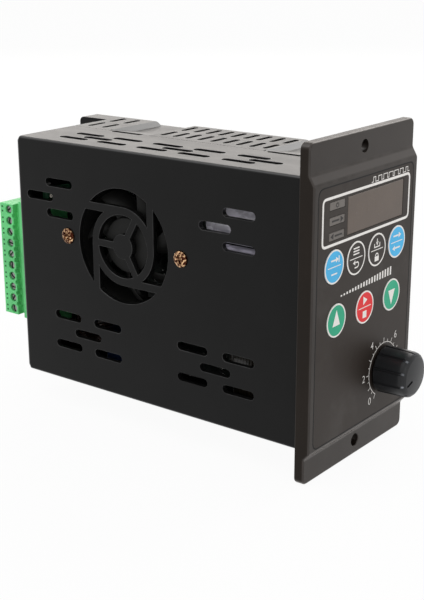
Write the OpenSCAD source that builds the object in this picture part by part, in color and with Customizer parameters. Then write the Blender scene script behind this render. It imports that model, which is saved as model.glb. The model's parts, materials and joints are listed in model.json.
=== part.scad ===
/* [Body] */
// Width of the body behind the panel
body_w = 68; // [66:0.5:74]
// Height of the body behind the panel
body_h = 104; // [103:0.5:112]
// Depth from the flange's back face to the rear wall
body_d = 145; // [142:0.5:156]
// Wall thickness of the two half shells
wall = 2.4; // [2:0.1:2.6]
// Rounding of the long outer edges
edge_r = 1.2; // [0.6:0.1:1.8]
// Rounding of the rear edges
rear_r = 2.4; // [1.2:0.1:2.6]
// Where the two half shells part, left or right of the middle
part_x = -1; // [-1.5:0.1:0.5]
// Fall of the right half's top and bottom towards the side wall
top_drop = 2; // [1.5:0.1:2.2]
// Width from the parting line over which the right half's top and bottom fall
fall_w = 14; // [10:0.5:20]
// Length of the ramp at the end of a raised land
ramp_l = 2.4; // [1.6:0.1:3]
// Width of the wing that stands behind the rear wall
wing_w = 13.5; // [11:0.5:16]
// Length of the wing behind the rear wall
wing_d = 14.6; // [10:0.2:18]

/* [Vents] */
// Length of a rounded vent slot
slot_l = 15; // [12:0.2:15.5]
// Width of a vent slot in the left shell
slot_w = 3.5; // [2:0.1:3.6]
// Distance between slot rows on the side walls
slot_row = 6.5; // [5.6:0.1:6.8]
// Distance from the middle to the nearest slot row on the side walls
slot_row_start = 22; // [20:0.2:23]
// Distance between the slot rows of the left top strip
strip_row = 5; // [4.6:0.1:5.2]
// Length of a slot in the raised lands of the right half
land_slot_l = 10.3; // [8:0.1:11]
// Width of a slot in the raised lands
land_slot_w = 2.5; // [1.8:0.1:3]
// Distance from slot to slot along a raised land
land_pitch = 6.55; // [6:0.05:6.7]
// Length of a latch window on the parting line
latch_l = 17; // [12:0.5:17.5]
// Width of a latch window
latch_w = 3.4; // [2.4:0.1:4]

/* [Fan] */
// Place of the fan behind the flange
fan_y = 86; // [84:0.5:88]
// Height of the fan above the middle
fan_z = 13; // [11:0.5:15]
// Opening of the fan grille
grille_d = 47.3; // [45:0.1:47.6]
// Outside of the grille's ring
ring_d = 32.6; // [30:0.1:34]
// Width of the grille's ring
ring_w = 3.3; // [2.5:0.1:4]
// Middle disc of the grille
grille_hub_d = 10.3; // [8:0.1:13]
// Width of the three spokes inside the ring
spoke_w = 2.9; // [2:0.1:3.6]
// Width of the four straight arms outside the ring
arm_w = 3.3; // [2.4:0.1:4]
// Outside of the round fan frame
fan_d = 51; // [50.6:0.1:52]
// Bore of the fan frame
fan_bore_d = 47.8; // [47.6:0.1:48.4]
// Thickness of the fan
fan_t = 11; // [10.6:0.1:12]
// Distance between the two fan screws
fan_screw_pitch = 60; // [60:0.2:62]
// Hub of the fan rotor
rotor_hub_d = 23; // [22:0.2:25]
// Blades of the fan rotor
blades = 7; // [5:1:9]
// Head of a fan screw
fan_head_d = 6.4; // [5.6:0.1:7]

/* [Front frame] */
// How far the flange stands past the body at each side
flange_over = 3; // [2.5:0.1:5]
// How far the flange stands past the body above and below
ear_h = 12.5; // [11:0.1:15]
// Thickness of the flange
flange_t = 4; // [3.6:0.1:4.6]
// Rounding of the flange's corners
flange_r = 2.8; // [1.5:0.1:4]
// Holes for the panel screws
panel_hole_d = 5; // [4.3:0.1:5.4]
// Distance from a panel hole to the end of the flange
panel_hole_edge = 6; // [5:0.1:6.4]
// How far the bezel stands out of the flange
bezel_rise = 2.2; // [2:0.1:3]
// Slope from the bezel up to the top ear
bezel_slope_top = 3.7; // [2.5:0.1:4.2]
// Slope from the bezel down to the bottom ear
bezel_slope_bottom = 2.5; // [1.5:0.1:3.5]
// Distance from the body's top down to the bezel's face
bezel_top_in = 2.5; // [2:0.1:3]
// Distance from the body's bottom up to the bezel's face
bezel_bottom_in = 0.5; // [0.3:0.1:1.2]
// Thickness of the frame's front wall
front_wall = 2; // [1.8:0.1:2.2]
// Depth of the seat that takes the half shells
shell_seat = 1.5; // [1:0.1:1.8]
// Length of the skirt that goes inside the half shells
skirt_l = 8; // [7:0.1:9]
// Thickness of the skirt
skirt_t = 1.8; // [1.4:0.1:2]

/* [Operator panel] */
// Thickness of the printed overlay
overlay_t = 0.5; // [0.3:0.05:0.6]
// Margin between the overlay and the frame's sides
overlay_side = 3; // [2.5:0.1:3.6]
// Margin between the overlay and the bezel's top
overlay_top = 1.5; // [1:0.1:2]
// Margin between the overlay and the bezel's bottom
overlay_bottom = 1; // [0.6:0.1:1.6]
// Rounding of the overlay's corners
overlay_r = 3; // [2:0.1:4]
// Width of the display window
window_w = 40.6; // [38:0.1:41]
// Height of the display window
window_h = 14.4; // [13:0.1:15]
// Middle of the display window, right of the middle
window_x = 6.1; // [5.8:0.1:6.6]
// Distance from the overlay's top down to the display window's middle
window_drop = 12.9; // [12:0.1:13.2]
// Width of a status window
status_w = 9.9; // [8:0.1:10]
// Height of a status window
status_h = 2.9; // [2.4:0.1:3.4]
// Distance between status windows
status_pitch = 5.6; // [5:0.1:5.8]
// Middle of the status windows, left of the middle
status_x = -21.5; // [-22:0.1:-21.4]
// Diameter of a key
key_d = 12.8; // [11.6:0.1:13]
// Free space between keys of the upper row
key_space = 2.35; // [2:0.05:2.5]
// Free space between keys of the lower row
key_space_low = 7.5; // [6:0.1:8]
// Distance from the display window's middle down to the upper row of keys
key_high_drop = 17.1; // [16.6:0.1:17.6]
// Distance between the two rows of keys
key_rows = 21; // [20.4:0.1:22]
// Travel of a key
key_travel = 0.5; // [0.3:0.05:0.6]
// How far a key stands out of the overlay
key_proud = 0.15; // [0.05:0.05:0.4]
// Place of the speed knob, right of the middle
dial_x = 16.2; // [12:0.1:18]
// Height of the speed knob above the overlay's bottom
dial_up = 17.9; // [17.5:0.1:20]

/* [Speed knob] */
// Diameter of the knob at the panel
knob_d = 19; // [16.5:0.1:20]
// Diameter of the knob at its front
knob_front_d = 18.4; // [16:0.1:19]
// Length of the knob without its domed cap
knob_l = 13.6; // [12:0.1:16]
// Rise of the domed cap
dome_rise = 0.7; // [0.4:0.1:1.2]
// Gap between the knob and the overlay
knob_gap = 0.8; // [0.5:0.1:1.5]
// Grooves round the knob
knob_grooves = 10; // [6:1:16]
// Angle of the pointer at rest, counted from the right
pointer_angle = 205; // [200:1:240]
// Diameter of the control's shaft
shaft_d = 6; // [5:0.1:6]
// Outside of the control's threaded bushing
bushing_d = 7; // [6.8:0.1:7.6]

/* [Terminals] */
// Number of ways
ways = 10; // [10:1:10]
// Distance between ways
way_pitch = 5.08; // [5:0.02:5.2]
// Height of the terminal block's middle
term_z = -6.5; // [-7.5:0.1:-5.5]
// Distance from the body's left side to the plug's screw face
plug_in = 8.3; // [7.8:0.1:8.8]
// Thickness of the plug across the screws
plug_w = 14; // [13.6:0.1:15]
// Length of the plug's screw block
plug_block_l = 8.2; // [8:0.1:10]
// How far the header stands behind the rear wall
header_out = 10.7; // [9.5:0.1:13]
// Gap between the header and the screw block
plug_gap = 2.1; // [0.5:0.1:2.4]
// Head of a terminal screw
term_head_d = 3.4; // [3:0.1:3.5]
// Thread of a terminal screw
term_screw_d = 2.9; // [2.4:0.1:2.9]
// Travel of a wire clamp
clamp_travel = 1.5; // [1:0.1:1.6]

/* [Inside] */
// Thickness of the circuit boards
board_t = 1.6; // [1.2:0.1:1.8]
// Distance from the frame's front wall to the control board
board_gap = 5.7; // [5.4:0.1:6]
// Width of the gap between the power board and the heat sink
module_gap = 7.4; // [7:0.1:8]
// Thickness of the heat sink's base
sink_base_t = 4.5; // [4:0.1:5]
// Gap between the heat sink and the rear wall
sink_rear_gap = 3.6; // [2:0.1:12]
// Height of the heat sink
sink_h = 76; // [74:1:80]
// Number of thin fins
fins = 9; // [5:2:11]
// Diameter of a bus capacitor
cap_d = 18; // [16:0.5:19]
// Length of a bus capacitor
cap_l = 35; // [30:1:40]
// Thread of a board screw
board_screw_d = 2.9; // [2.5:0.1:3]

/* [Clearances] */
// Clearance between parts that are pushed together
fit = 0.2; // [0.1:0.05:0.3]
// Clearance round a key
key_gap = 0.15; // [0.1:0.05:0.2]
// Running clearance round a shaft
run = 0.05; // [0.02:0.01:0.1]
// Clearance round a part that turns or slides freely
free = 0.5; // [0.4:0.05:0.6]

/* [Hidden] */
$fn = 48;
key_names = ["key_blue_left", "key_black_left", "key_black_right", "key_blue_right",
    "key_green_up", "key_red", "key_green_down"];

// Slack that lets a cutter pass a face
past = 1;

// Main planes of the body
left = -body_w / 2;
right = body_w / 2;
top = body_h / 2;
left_in = left + wall;
right_in = right - wall;
rear_in = body_d - wall;
low_top = top - top_drop;
skirt_top = low_top - wall;

// Raised lands of the right half
land_x0 = part_x + 2;
land_x1 = right - 3;
land_a0 = 38.7;
land_a_l = 63.3;
land_a1 = land_a0 + land_a_l;
land_b_l = 25.5;
land_b0 = body_d - land_b_l;
land_row_in = 7.3;
land_row_step = 13.9;
land_rows = [land_x0 + land_row_in, land_x0 + land_row_in + land_row_step];
land_slot_in = 4.9;
land_a_slots = [for (i = [0:8]) land_a0 + land_slot_in + i * land_pitch];
land_b_slots = [body_d - 7.4, body_d - 15.7];
wing_x0 = right - wing_w;

// Vent slots of the side walls as [place, row], with the rows counted from the middle
slot_step = 22.4;
slot_shift = 0.5;
slot_y0 = 28.3;
slot_rear = 24.5;
low_slots = [[0, 0], [1, 0], [3, 0], [4, 0], [0.5, 1], [3.5, 1], [0, 2], [1, 2], [3, 2], [4, 2]];
high_slots = [[0, 0], [0.5, 1], [0, 2]];
high_rear_slots = [[0, 0], [0.5, 1], [0, 2]];
high_rear_y = body_d - slot_rear;

// Vent slots of the left top strip
strip_x = left + 15;
strip_group = 42.3;
strip_mid = 9;
strip_next = 21;
strip_y0 = body_d - slot_rear;
latch_a_in = 8.5;
latch_b_in = 8.3;
latch_y = [land_a0 - latch_a_in, land_b0 - latch_b_in];
tongue_in = 1.5;
tongue_reach = 4;
pad_gap = 0.4;
pad_open = 2.5;
pad_sink = 1.3;

// Front frame
flange_w = body_w + 2 * flange_over;
flange_h = body_h + 2 * ear_h;
panel_hole_z = flange_h / 2 - panel_hole_edge;
face_y = -flange_t - bezel_rise;
bezel_z1 = top - bezel_top_in;
bezel_z0 = -top + bezel_bottom_in;
overlay_y = face_y + overlay_t;
inner_y = overlay_y + front_wall;
skirt_x = right_in - fit;
skirt_z = skirt_top - fit;
well_x = skirt_x - skirt_t;
well_z = skirt_z - skirt_t;
overlay_w = flange_w - 2 * overlay_side;
overlay_z1 = bezel_z1 - overlay_top;
overlay_z0 = bezel_z0 + overlay_bottom;
overlay_h = overlay_z1 - overlay_z0;
overlay_mid = (overlay_z1 + overlay_z0) / 2;

// Operator panel
window_z = overlay_z1 - window_drop;
key_high_z = window_z - key_high_drop;
key_low_z = key_high_z - key_rows;
dial_z = overlay_z0 + dial_up;
lens_t = 1;
lens_lip = 1.2;
status_t = overlay_t + 0.4;
led_d = 3;
high_pitch = key_d + key_space;
low_pitch = key_d + key_space_low;
key_places = [[-1.5 * high_pitch, key_high_z], [-0.5 * high_pitch, key_high_z],
    [0.5 * high_pitch, key_high_z], [1.5 * high_pitch, key_high_z],
    [-low_pitch, key_low_z], [0, key_low_z], [low_pitch, key_low_z]];
key_colours = ["deepskyblue", "dimgray", "dimgray", "deepskyblue", "mediumseagreen", "crimson",
    "mediumseagreen"];
key_hole_d = key_d + 2 * key_gap;
key_tab_d = key_d + 1.6;
key_tab_w = 5;
key_tab_t = 0.8;
key_cap_y = inner_y + key_gap;
board_y = inner_y + board_gap;
switch_w = 6;
switch_h = 3.6;
stem_d = 3.2;
stem_in = 0.3;
post_d = 4.6;
post_mid = (key_high_z + key_low_z) / 2;
post_in = 3.2;
post_up = 4.2;
post_places = [for (s = [-1, 1], z = [post_mid, -well_z + post_up]) [s * (well_x - post_in), z]];
board_edge = 0.8;

// Speed control behind and in front of the panel
washer_d = 12;
washer_t = 0.5;
nut_w = 10;
nut_t = 2;
bushing_l = 3;
bushing_y = face_y - bushing_l;
knob_y = face_y - knob_gap;
knob_front_y = knob_y - knob_l;
knob_well_d = 14;
knob_well = bushing_l - knob_gap + free;
knob_web = 1.5;
shaft_front_y = knob_front_y + knob_web;
pot_w = 9.6;
pot_h = 11.4;
wiper_d = 8;
wiper_t = 2;
wiper_y = board_y - 3.6;

// Power side
fan_x0 = left_in;
fan_x1 = fan_x0 + fan_t;
fan_base_t = 1.4;
fan_base_d = 22;
ear_t = 3.2;
ear_r = 4;
axle_d = 2;
tube_d = 5;
rotor_x0 = fan_x0 + free;
rotor_x1 = fan_x1 - fan_base_t - free;
rotor_wall = 1.5;
blade_t = 1.1;
blade_tilt = 40;
fan_pilot_d = 2.6;
screw_sink = 0.6;
plug_x0 = left + plug_in;
plug_x1 = plug_x0 + plug_w;
header_set = 1.5;
header_w = 13.2;
header_x0 = plug_x0 + header_set;
board_x = header_x0 + header_w;
sink_x = board_x + board_t + module_gap;
board_y0 = skirt_l + 4;
board_y1 = rear_in - 1.6;
board_half = skirt_top - 2;
sink_front_gap = 4;
sink_y0 = board_y0 + sink_front_gap;
sink_l = rear_in - sink_rear_gap - sink_y0;
sink_edge = 6;
sink_side = sink_h / 2 - sink_edge / 2;
sink_screw_in = 5;
sink_screw_ys = [slot_y0 + slot_step / 2, sink_y0 + sink_l - sink_screw_in];
sink_screws = [for (y = sink_screw_ys, s = [-1, 1]) [y, s * sink_side]];
sink_screw_d = 3;
sink_screw_l = 11;
sink_tap_l = sink_screw_l + 1;
sink_head_d = 5.6;
sink_head_t = 1.8;
standoff_d = 6;
standoff_half = 34;
standoff_front = 42;
standoff_rear = 8;
standoff_ys = [board_y0 + standoff_front, board_y1 - standoff_rear];
standoffs = [for (y = standoff_ys, s = [-1, 1]) [y, s * standoff_half]];
board_head_d = 5.4;
board_head_t = 1.5;
board_screw_l = 5.4;

// Tall parts on the power board
cap_top_z = 28;
cap_gap = 1.5;
cap_in = 1;
tall_z0 = -board_half + 3.6;
core_w = 16;
core_l = 16;
core_h = 22;
coil_w = 13;
coil_l = 24;
coil_h = 14;
coil_y0 = board_y0 + 4;
choke_d = 20;
choke_hole_d = 8;
choke_t = 12;
choke_y = board_y1 - standoff_rear - standoff_d - choke_d / 2;
choke_z = tall_z0 + choke_d / 2 + 1;
relay_w = 15;
relay_l = 19;
relay_gap = 3;
relay_y1 = choke_y - choke_d / 2 - relay_gap;

// Terminal block
pin_pitch = 2.54;
block_l = ways * way_pitch;
way_z = [for (i = [0:ways - 1]) term_z + (i - (ways - 1) / 2) * way_pitch];
header_end = body_d + header_out;
header_wall = 1.2;
header_in = 4;
header_y0 = rear_in - header_in;
header_x1 = board_x;
tail_y = header_y0 + 1.5;
header_half = block_l / 2 + header_wall + fit;
tongue_x0 = header_x0 + header_wall + fit;
tongue_x1 = header_x1 - 1.5 * header_wall - fit;
tongue_y0 = body_d + fit;
pin_d = 1.1;
pin_x = (tongue_x0 + tongue_x1) / 2;
pin_end = header_end - 2.7;
block_y0 = header_end + plug_gap;
block_y1 = block_y0 + plug_block_l;
screw_y = block_y1 - 5.4;
head_in = 1.2;
head_t = 1.5;
ledge_x = plug_x0 + head_in + head_t + run;
ledge_t = 1;
cage_t = 1.2;
cage_w = 3.7;
cage_l = 5.6;
wire_h = 3.8;
cage_h = wire_h + 2 * cage_t;
chamber_x0 = ledge_x + ledge_t;
cage_gap = 0.8;
screw_past = 0.4;
cage_x0 = chamber_x0 + clamp_travel + cage_gap;
chamber_x1 = cage_x0 + cage_h + fit;
screw_reach = cage_t + clamp_travel + screw_past;
screw_end = cage_x0 + screw_reach;

// Rounded rectangle about the origin
module rounded(w, h, r) {
    square([w - 2 * r, h], center = true);
    square([w, h - 2 * r], center = true);
    for (x = [-1, 1], y = [-1, 1])
        translate([x * (w / 2 - r), y * (h / 2 - r)])
            circle(r);
}

// Slot with round ends along the first axis
module slot(l, w) {
    square([l - w, w], center = true);
    for (s = [-1, 1])
        translate([s * (l - w) / 2, 0])
            circle(w / 2);
}

// Extrusion of an outline in width and height along the depth
module along_y(y0, y1) {
    translate([0, y1, 0])
        rotate([90, 0, 0])
            linear_extrude(y1 - y0)
                children();
}

// Extrusion of an outline in depth and height along the width
module along_x(x0, x1) {
    translate([x0, 0, 0])
        rotate([90, 0, 90])
            linear_extrude(x1 - x0)
                children();
}

module along_z(z0, z1) {
    translate([0, 0, z0])
        linear_extrude(z1 - z0)
            children();
}

module box(x0, x1, y0, y1, z0, z1) {
    translate([x0, y0, z0])
        cube([x1 - x0, y1 - y0, z1 - z0]);
}

// Round bar or bore along the depth, at a place in width and height
module bar_y(x, z, d, y0, y1) {
    translate([x, y1, z])
        rotate([90, 0, 0])
            cylinder(d = d, h = y1 - y0);
}

// Round bar or bore along the width, at a place in depth and height
module bar_x(y, z, d, x0, x1) {
    translate([x0, y, z])
        rotate([0, 90, 0])
            cylinder(d = d, h = x1 - x0);
}

// Slots of a side wall
module side_slots() {
    for (s = low_slots)
        translate([slot_y0 + s[0] * slot_step, -slot_row_start - slot_shift - s[1] * slot_row])
            slot(slot_l, slot_w);
    for (s = high_slots)
        translate([slot_y0 + s[0] * slot_step, slot_row_start - slot_shift + (2 - s[1]) * slot_row])
            slot(slot_l, slot_w);
    for (s = high_rear_slots)
        translate([high_rear_y + s[0] * slot_step, slot_row_start - slot_shift + (2 - s[1]) * slot_row])
            slot(slot_l, slot_w);
}

// Slots of the left top strip, three staggered groups
module strip_slots() {
    for (g = [0:2]) {
        for (s = [-1, 1])
            translate([strip_x + s * strip_row, strip_y0 - g * strip_group])
                rotate(90)
                    slot(slot_l, slot_w);
        translate([strip_x, strip_y0 - strip_mid - g * strip_group])
            rotate(90)
                slot(slot_l, slot_w);
        if (g < 2)
            for (s = [-1, 1])
                translate([strip_x + s * strip_row, strip_y0 - strip_next - g * strip_group])
                    rotate(90)
                        slot(slot_l, slot_w);
    }
}

module latch_windows() {
    for (y = latch_y)
        translate([part_x, y])
            rotate(90)
                slot(latch_l, latch_w);
}

module land_slots() {
    for (x = land_rows, y = concat(land_a_slots, land_b_slots))
        translate([x, y])
            slot(land_slot_l, land_slot_w);
}

// Open parts of the fan grille: the opening less its ring, hub, spokes and straight arms
module grille_openings() {
    reach = grille_d / 2 + past;
    difference() {
        circle(grille_d / 2);
        difference() {
            circle(ring_d / 2);
            circle(ring_d / 2 - ring_w);
        }
        circle(grille_hub_d / 2);
        for (a = [0, 120, 240])
            rotate(a)
                translate([0, -spoke_w / 2])
                    square([ring_d / 2 - ring_w / 2, spoke_w]);
        for (a = [0:90:270])
            rotate(a)
                translate([0, ring_d / 2 - arm_w])
                    square([reach, arm_w]);
    }
}

// Left half of the body's outline in width and height
module left_outline() {
    translate([left + edge_r, -top])
        square([part_x - left - edge_r, body_h]);
    translate([left, -top + edge_r])
        square([part_x - left, body_h - 2 * edge_r]);
    for (s = [-1, 1])
        translate([left + edge_r, s * (top - edge_r)])
            circle(edge_r);
}

// Right half, whose top and bottom fall beside the parting line
module right_outline() {
    fall_x = part_x + fall_w;
    polygon([[part_x, -top], [fall_x, -low_top], [right - edge_r, -low_top], [right, -low_top + edge_r],
        [right, low_top - edge_r], [right - edge_r, low_top], [fall_x, low_top], [part_x, top]]);
    for (s = [-1, 1])
        translate([right - edge_r, s * (low_top - edge_r)])
            circle(edge_r);
}

// Plan of the left half with its rounded rear corner
module left_plan() {
    translate([left, -shell_seat])
        square([part_x - left, body_d + shell_seat - rear_r]);
    translate([left + rear_r, -shell_seat])
        square([part_x - left - rear_r, body_d + shell_seat]);
    translate([left + rear_r, body_d - rear_r])
        circle(rear_r);
}

// Side view from the panel to a depth, with its rear edges rounded
module side_profile(rear_y) {
    translate([-shell_seat, -top])
        square([rear_y + shell_seat - rear_r, body_h]);
    translate([-shell_seat, -top + rear_r])
        square([rear_y + shell_seat, body_h - 2 * rear_r]);
    for (s = [-1, 1])
        translate([rear_y - rear_r, s * (top - rear_r)])
            circle(rear_r);
}

module left_shell() {
    color("#2b2b2b")
        difference() {
            intersection() {
                along_y(-shell_seat, body_d)
                    left_outline();
                along_z(-top, top)
                    left_plan();
                along_x(left - past, part_x + past)
                    side_profile(body_d);
            }
            box(left_in, part_x + past, -shell_seat - past, rear_in, -skirt_top, skirt_top);
            box(left_in, part_x + past, skirt_l + fit, rear_in, -top + wall, top - wall);
            along_x(left - past, left_in + past)
                translate([fan_y, fan_z])
                    grille_openings();
            along_x(left - past, left_in + past)
                side_slots();
            for (s = [-1, 1])
                bar_x(fan_y + s * fan_screw_pitch / 2, fan_z, fan_pilot_d + 2 * fit, left - past,
                    left_in + past);
            for (s = [-1, 1])
                bar_x(fan_y + s * fan_screw_pitch / 2, fan_z, fan_head_d + 2 * fit, left - past,
                    left + screw_sink);
            for (z = [-top - past, top - wall - past])
                along_z(z, z + wall + 2 * past) {
                    strip_slots();
                    latch_windows();
                }
            box(header_x0 - fit, header_x1 + board_t + 2 * fit, rear_in - past, body_d + past,
                term_z - header_half - fit, term_z + header_half + fit);
        }
}

// Side view of a raised land: a ramp at each end, or the body's rounding where it ends with the body
module land_profile(y0, y1, at_rear) {
    end_l = at_rear ? rear_r : ramp_l;
    polygon([[y0, -past], [y0, low_top], [y0 + ramp_l, top], [y1 - end_l, top],
        [y1, at_rear ? top - rear_r : low_top], [y1, -past]]);
    if (at_rear)
        translate([y1 - rear_r, top - rear_r])
            circle(rear_r);
}

// One raised land with its outer edge rounded
module land(x0, y0, y1, at_rear) {
    intersection() {
        along_y(y0, y1) {
            translate([x0, 0])
                square([land_x1 - x0 - edge_r, top]);
            translate([x0, 0])
                square([land_x1 - x0, top - edge_r]);
            translate([land_x1 - edge_r, top - edge_r])
                circle(edge_r);
        }
        along_x(x0 - past, land_x1 + past)
            land_profile(y0, y1, at_rear);
    }
}

module right_shell() {
    tongue_l = latch_l - 2 * tongue_in;
    color("#303030") {
        difference() {
            union() {
                intersection() {
                    along_y(-shell_seat, body_d)
                        right_outline();
                    along_x(part_x - past, right + past)
                        side_profile(body_d);
                }
                intersection() {
                    along_y(body_d - past, body_d + wing_d)
                        right_outline();
                    along_x(wing_x0, right + past)
                        side_profile(body_d + wing_d);
                }
                for (m = [0, 1])
                    mirror([0, 0, m]) {
                        land(land_x0, land_a0, land_a1, false);
                        land(land_x0, land_b0, body_d, true);
                        land(wing_x0, land_b0, body_d + wing_d, true);
                    }
            }
            box(part_x - past, right_in, -shell_seat - past, rear_in, -skirt_top, skirt_top);
            box(wing_x0 + wall, right_in, body_d - past - wall, body_d + wing_d - wall, -skirt_top,
                skirt_top);
            for (z = [-top - past, skirt_top - past])
                along_z(z, z + top - skirt_top + 2 * past) {
                    land_slots();
                    latch_windows();
                }
            along_x(right_in - past, right + past)
                side_slots();
            for (p = sink_screws)
                bar_x(p[0], p[1], sink_screw_d + 2 * fit, right_in - past, right + past);
        }
        // Latch tongues that hook under the left half, each with a pad that stands in its window
        for (y = latch_y, m = [0, 1])
            mirror([0, 0, m]) {
                box(part_x - tongue_reach, part_x + latch_w / 2 + past, y - tongue_l / 2,
                    y + tongue_l / 2, skirt_top - wall, skirt_top);
                box(part_x - latch_w / 2 + pad_gap, part_x + latch_w / 2 + past, y - tongue_l / 2,
                    y + tongue_l / 2 - pad_open, skirt_top - past, top - pad_sink);
            }
    }
}

module front_frame() {
    color("#5a5653")
        difference() {
            union() {
                difference() {
                    union() {
                        along_y(-flange_t, 0)
                            rounded(flange_w, flange_h, flange_r);
                        along_x(-flange_w / 2, flange_w / 2)
                            polygon([[-flange_t + past / 2, bezel_z1 + bezel_slope_top],
                                [-flange_t, bezel_z1 + bezel_slope_top], [face_y, bezel_z1],
                                [face_y, bezel_z0], [-flange_t, bezel_z0 - bezel_slope_bottom],
                                [-flange_t + past / 2, bezel_z0 - bezel_slope_bottom]]);
                    }
                    along_y(-shell_seat, past)
                        square([body_w + 2 * fit, body_h + 2 * fit], center = true);
                    box(-well_x, well_x, inner_y, past, -well_z, well_z);
                }
                difference() {
                    box(-skirt_x, skirt_x, -shell_seat - past, skirt_l, -skirt_z, skirt_z);
                    box(-well_x, well_x, -shell_seat - 2 * past, skirt_l + past, -well_z, well_z);
                }
                for (p = post_places)
                    bar_y(p[0], p[1], post_d, inner_y - past, board_y);
            }
            along_y(face_y - past, overlay_y)
                translate([0, overlay_mid])
                    rounded(overlay_w + 2 * fit, overlay_h + 2 * fit, overlay_r);
            for (k = key_places)
                bar_y(k[0], k[1], key_hole_d, overlay_y - past, inner_y + past);
            box(window_x - window_w / 2, window_x + window_w / 2, overlay_y - past, inner_y + past,
                window_z - window_h / 2, window_z + window_h / 2);
            box(window_x - window_w / 2 - lens_lip - fit, window_x + window_w / 2 + lens_lip + fit,
                overlay_y - past, overlay_y + lens_t, window_z - window_h / 2 - lens_lip - fit,
                window_z + window_h / 2 + lens_lip + fit);
            for (s = [-1:1]) {
                along_y(overlay_y - past, face_y + status_t)
                    translate([status_x, window_z + s * status_pitch])
                        square([status_w + 2 * fit, status_h + 2 * fit], center = true);
                bar_y(status_x, window_z + s * status_pitch, led_d + 2 * fit, overlay_y, inner_y + past);
            }
            bar_y(dial_x, dial_z, bushing_d + 2 * fit, overlay_y - past, inner_y + past);
            for (s = [-1, 1])
                bar_y(0, s * panel_hole_z, panel_hole_d, -flange_t - past, past);
            for (p = post_places)
                bar_y(p[0], p[1], board_screw_d, board_y - board_gap + past, board_y + past);
        }
}

module keypad_overlay() {
    color("#4b4745")
        difference() {
            along_y(face_y, overlay_y)
                translate([0, overlay_mid])
                    rounded(overlay_w, overlay_h, overlay_r);
            for (k = key_places)
                bar_y(k[0], k[1], key_hole_d, face_y - past, overlay_y + past);
            along_y(face_y - past, overlay_y + past) {
                translate([window_x, window_z])
                    square([window_w, window_h], center = true);
                for (s = [-1:1])
                    translate([status_x, window_z + s * status_pitch])
                        square([status_w + fit, status_h + fit], center = true);
            }
            bar_y(dial_x, dial_z, bushing_d + 2 * fit, face_y - past, overlay_y + past);
        }
}

module display_window() {
    color("#7b736c")
        along_y(overlay_y, overlay_y + lens_t)
            translate([window_x, window_z])
                square([window_w + 2 * lens_lip, window_h + 2 * lens_lip], center = true);
}

module status_windows() {
    color("#85817d")
        for (s = [-1:1])
            along_y(face_y, face_y + status_t)
                translate([status_x, window_z + s * status_pitch])
                    square([status_w, status_h], center = true);
}

// Push key: a round cap, two tabs that keep it behind the front wall, and a stem to its switch
module key(place, tint) {
    stem_y = board_y - switch_h + stem_in;
    color(tint)
        translate([place[0], 0, place[1]]) {
            bar_y(0, 0, key_d, face_y - key_proud, key_cap_y + key_tab_t);
            intersection() {
                bar_y(0, 0, key_tab_d, key_cap_y, key_cap_y + key_tab_t);
                box(-key_tab_w / 2, key_tab_w / 2, key_cap_y, key_cap_y + key_tab_t, -key_tab_d,
                    key_tab_d);
            }
            bar_y(0, 0, stem_d, key_cap_y, stem_y);
        }
}

// Knob: a slightly tapered grooved skirt, a rounded rim and a domed cap
module speed_knob() {
    rb = knob_d / 2;
    rf = knob_front_d / 2;
    rim = 2.3;
    cap_r = rf - 1.7;
    cap_edge = 0.1;
    rise = dome_rise - cap_edge;
    dome_r = (cap_r * cap_r + rise * rise) / (2 * rise);
    mark_mid = 5;
    mark_tilt = asin(mark_mid / dome_r);
    mark_up = dome_rise - dome_r + dome_r * cos(mark_tilt);
    mark_l = 3.2;
    mark_w = 0.9;
    mark_deep = 0.6;
    taper = atan((rb - rf) / (knob_l - rim));
    groove_r = 0.6;
    color("#1e1e1e")
        translate([dial_x, knob_y, dial_z])
            difference() {
                rotate([90, 0, 0]) {
                    rotate_extrude()
                        polygon([[0, 0], [rb, 0], [rf, knob_l - rim], [rf - 0.3, knob_l - 1.1],
                            [rf - 1, knob_l - 0.35], [cap_r, knob_l], [0, knob_l]]);
                    intersection() {
                        translate([0, 0, knob_l + dome_rise - dome_r])
                            sphere(dome_r);
                        translate([0, 0, knob_l - past / 2])
                            cylinder(r = cap_r, h = dome_rise + past);
                    }
                }
                bar_y(0, 0, knob_well_d, -knob_well, past);
                bar_y(0, 0, shaft_d + 2 * run, knob_web - knob_l, past);
                for (i = [0:knob_grooves - 1])
                    rotate([0, i * 360 / knob_grooves, 0])
                        translate([0, 0, rb + 0.15])
                            rotate([90 + taper, 0, 0])
                                translate([0, 0, -past])
                                    cylinder(r = groove_r, h = knob_l - rim / 2 + past, $fn = 24);
                rotate([0, -pointer_angle, 0])
                    translate([mark_mid, -knob_l - mark_up, 0])
                        rotate([0, 0, mark_tilt])
                            box(-mark_l / 2, mark_l / 2, -past, mark_deep, -mark_w / 2, mark_w / 2);
            }
}

module pot_shaft() {
    color("silver") {
        bar_y(dial_x, dial_z, shaft_d, shaft_front_y, wiper_y + wiper_t);
        bar_y(dial_x, dial_z, wiper_d, wiper_y, wiper_y + wiper_t);
    }
}

module pot_body() {
    well = wiper_d + 2 * free;
    color("#7f8790")
        difference() {
            union() {
                along_y(inner_y + fit, board_y)
                    translate([dial_x, dial_z])
                        square([pot_w, pot_h], center = true);
                bar_y(dial_x, dial_z, bushing_d, bushing_y, inner_y + past);
            }
            bar_y(dial_x, dial_z, shaft_d + 2 * run, bushing_y - past, wiper_y);
            bar_y(dial_x, dial_z, well, wiper_y - fit, wiper_y + wiper_t + fit);
        }
}

module pot_nut() {
    color("goldenrod")
        difference() {
            translate([dial_x, face_y - washer_t, dial_z])
                rotate([90, 0, 0])
                    cylinder(d = nut_w / cos(30), h = nut_t, $fn = 6);
            bar_y(dial_x, dial_z, bushing_d + 2 * run, face_y - washer_t - nut_t - past, face_y);
        }
}

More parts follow.
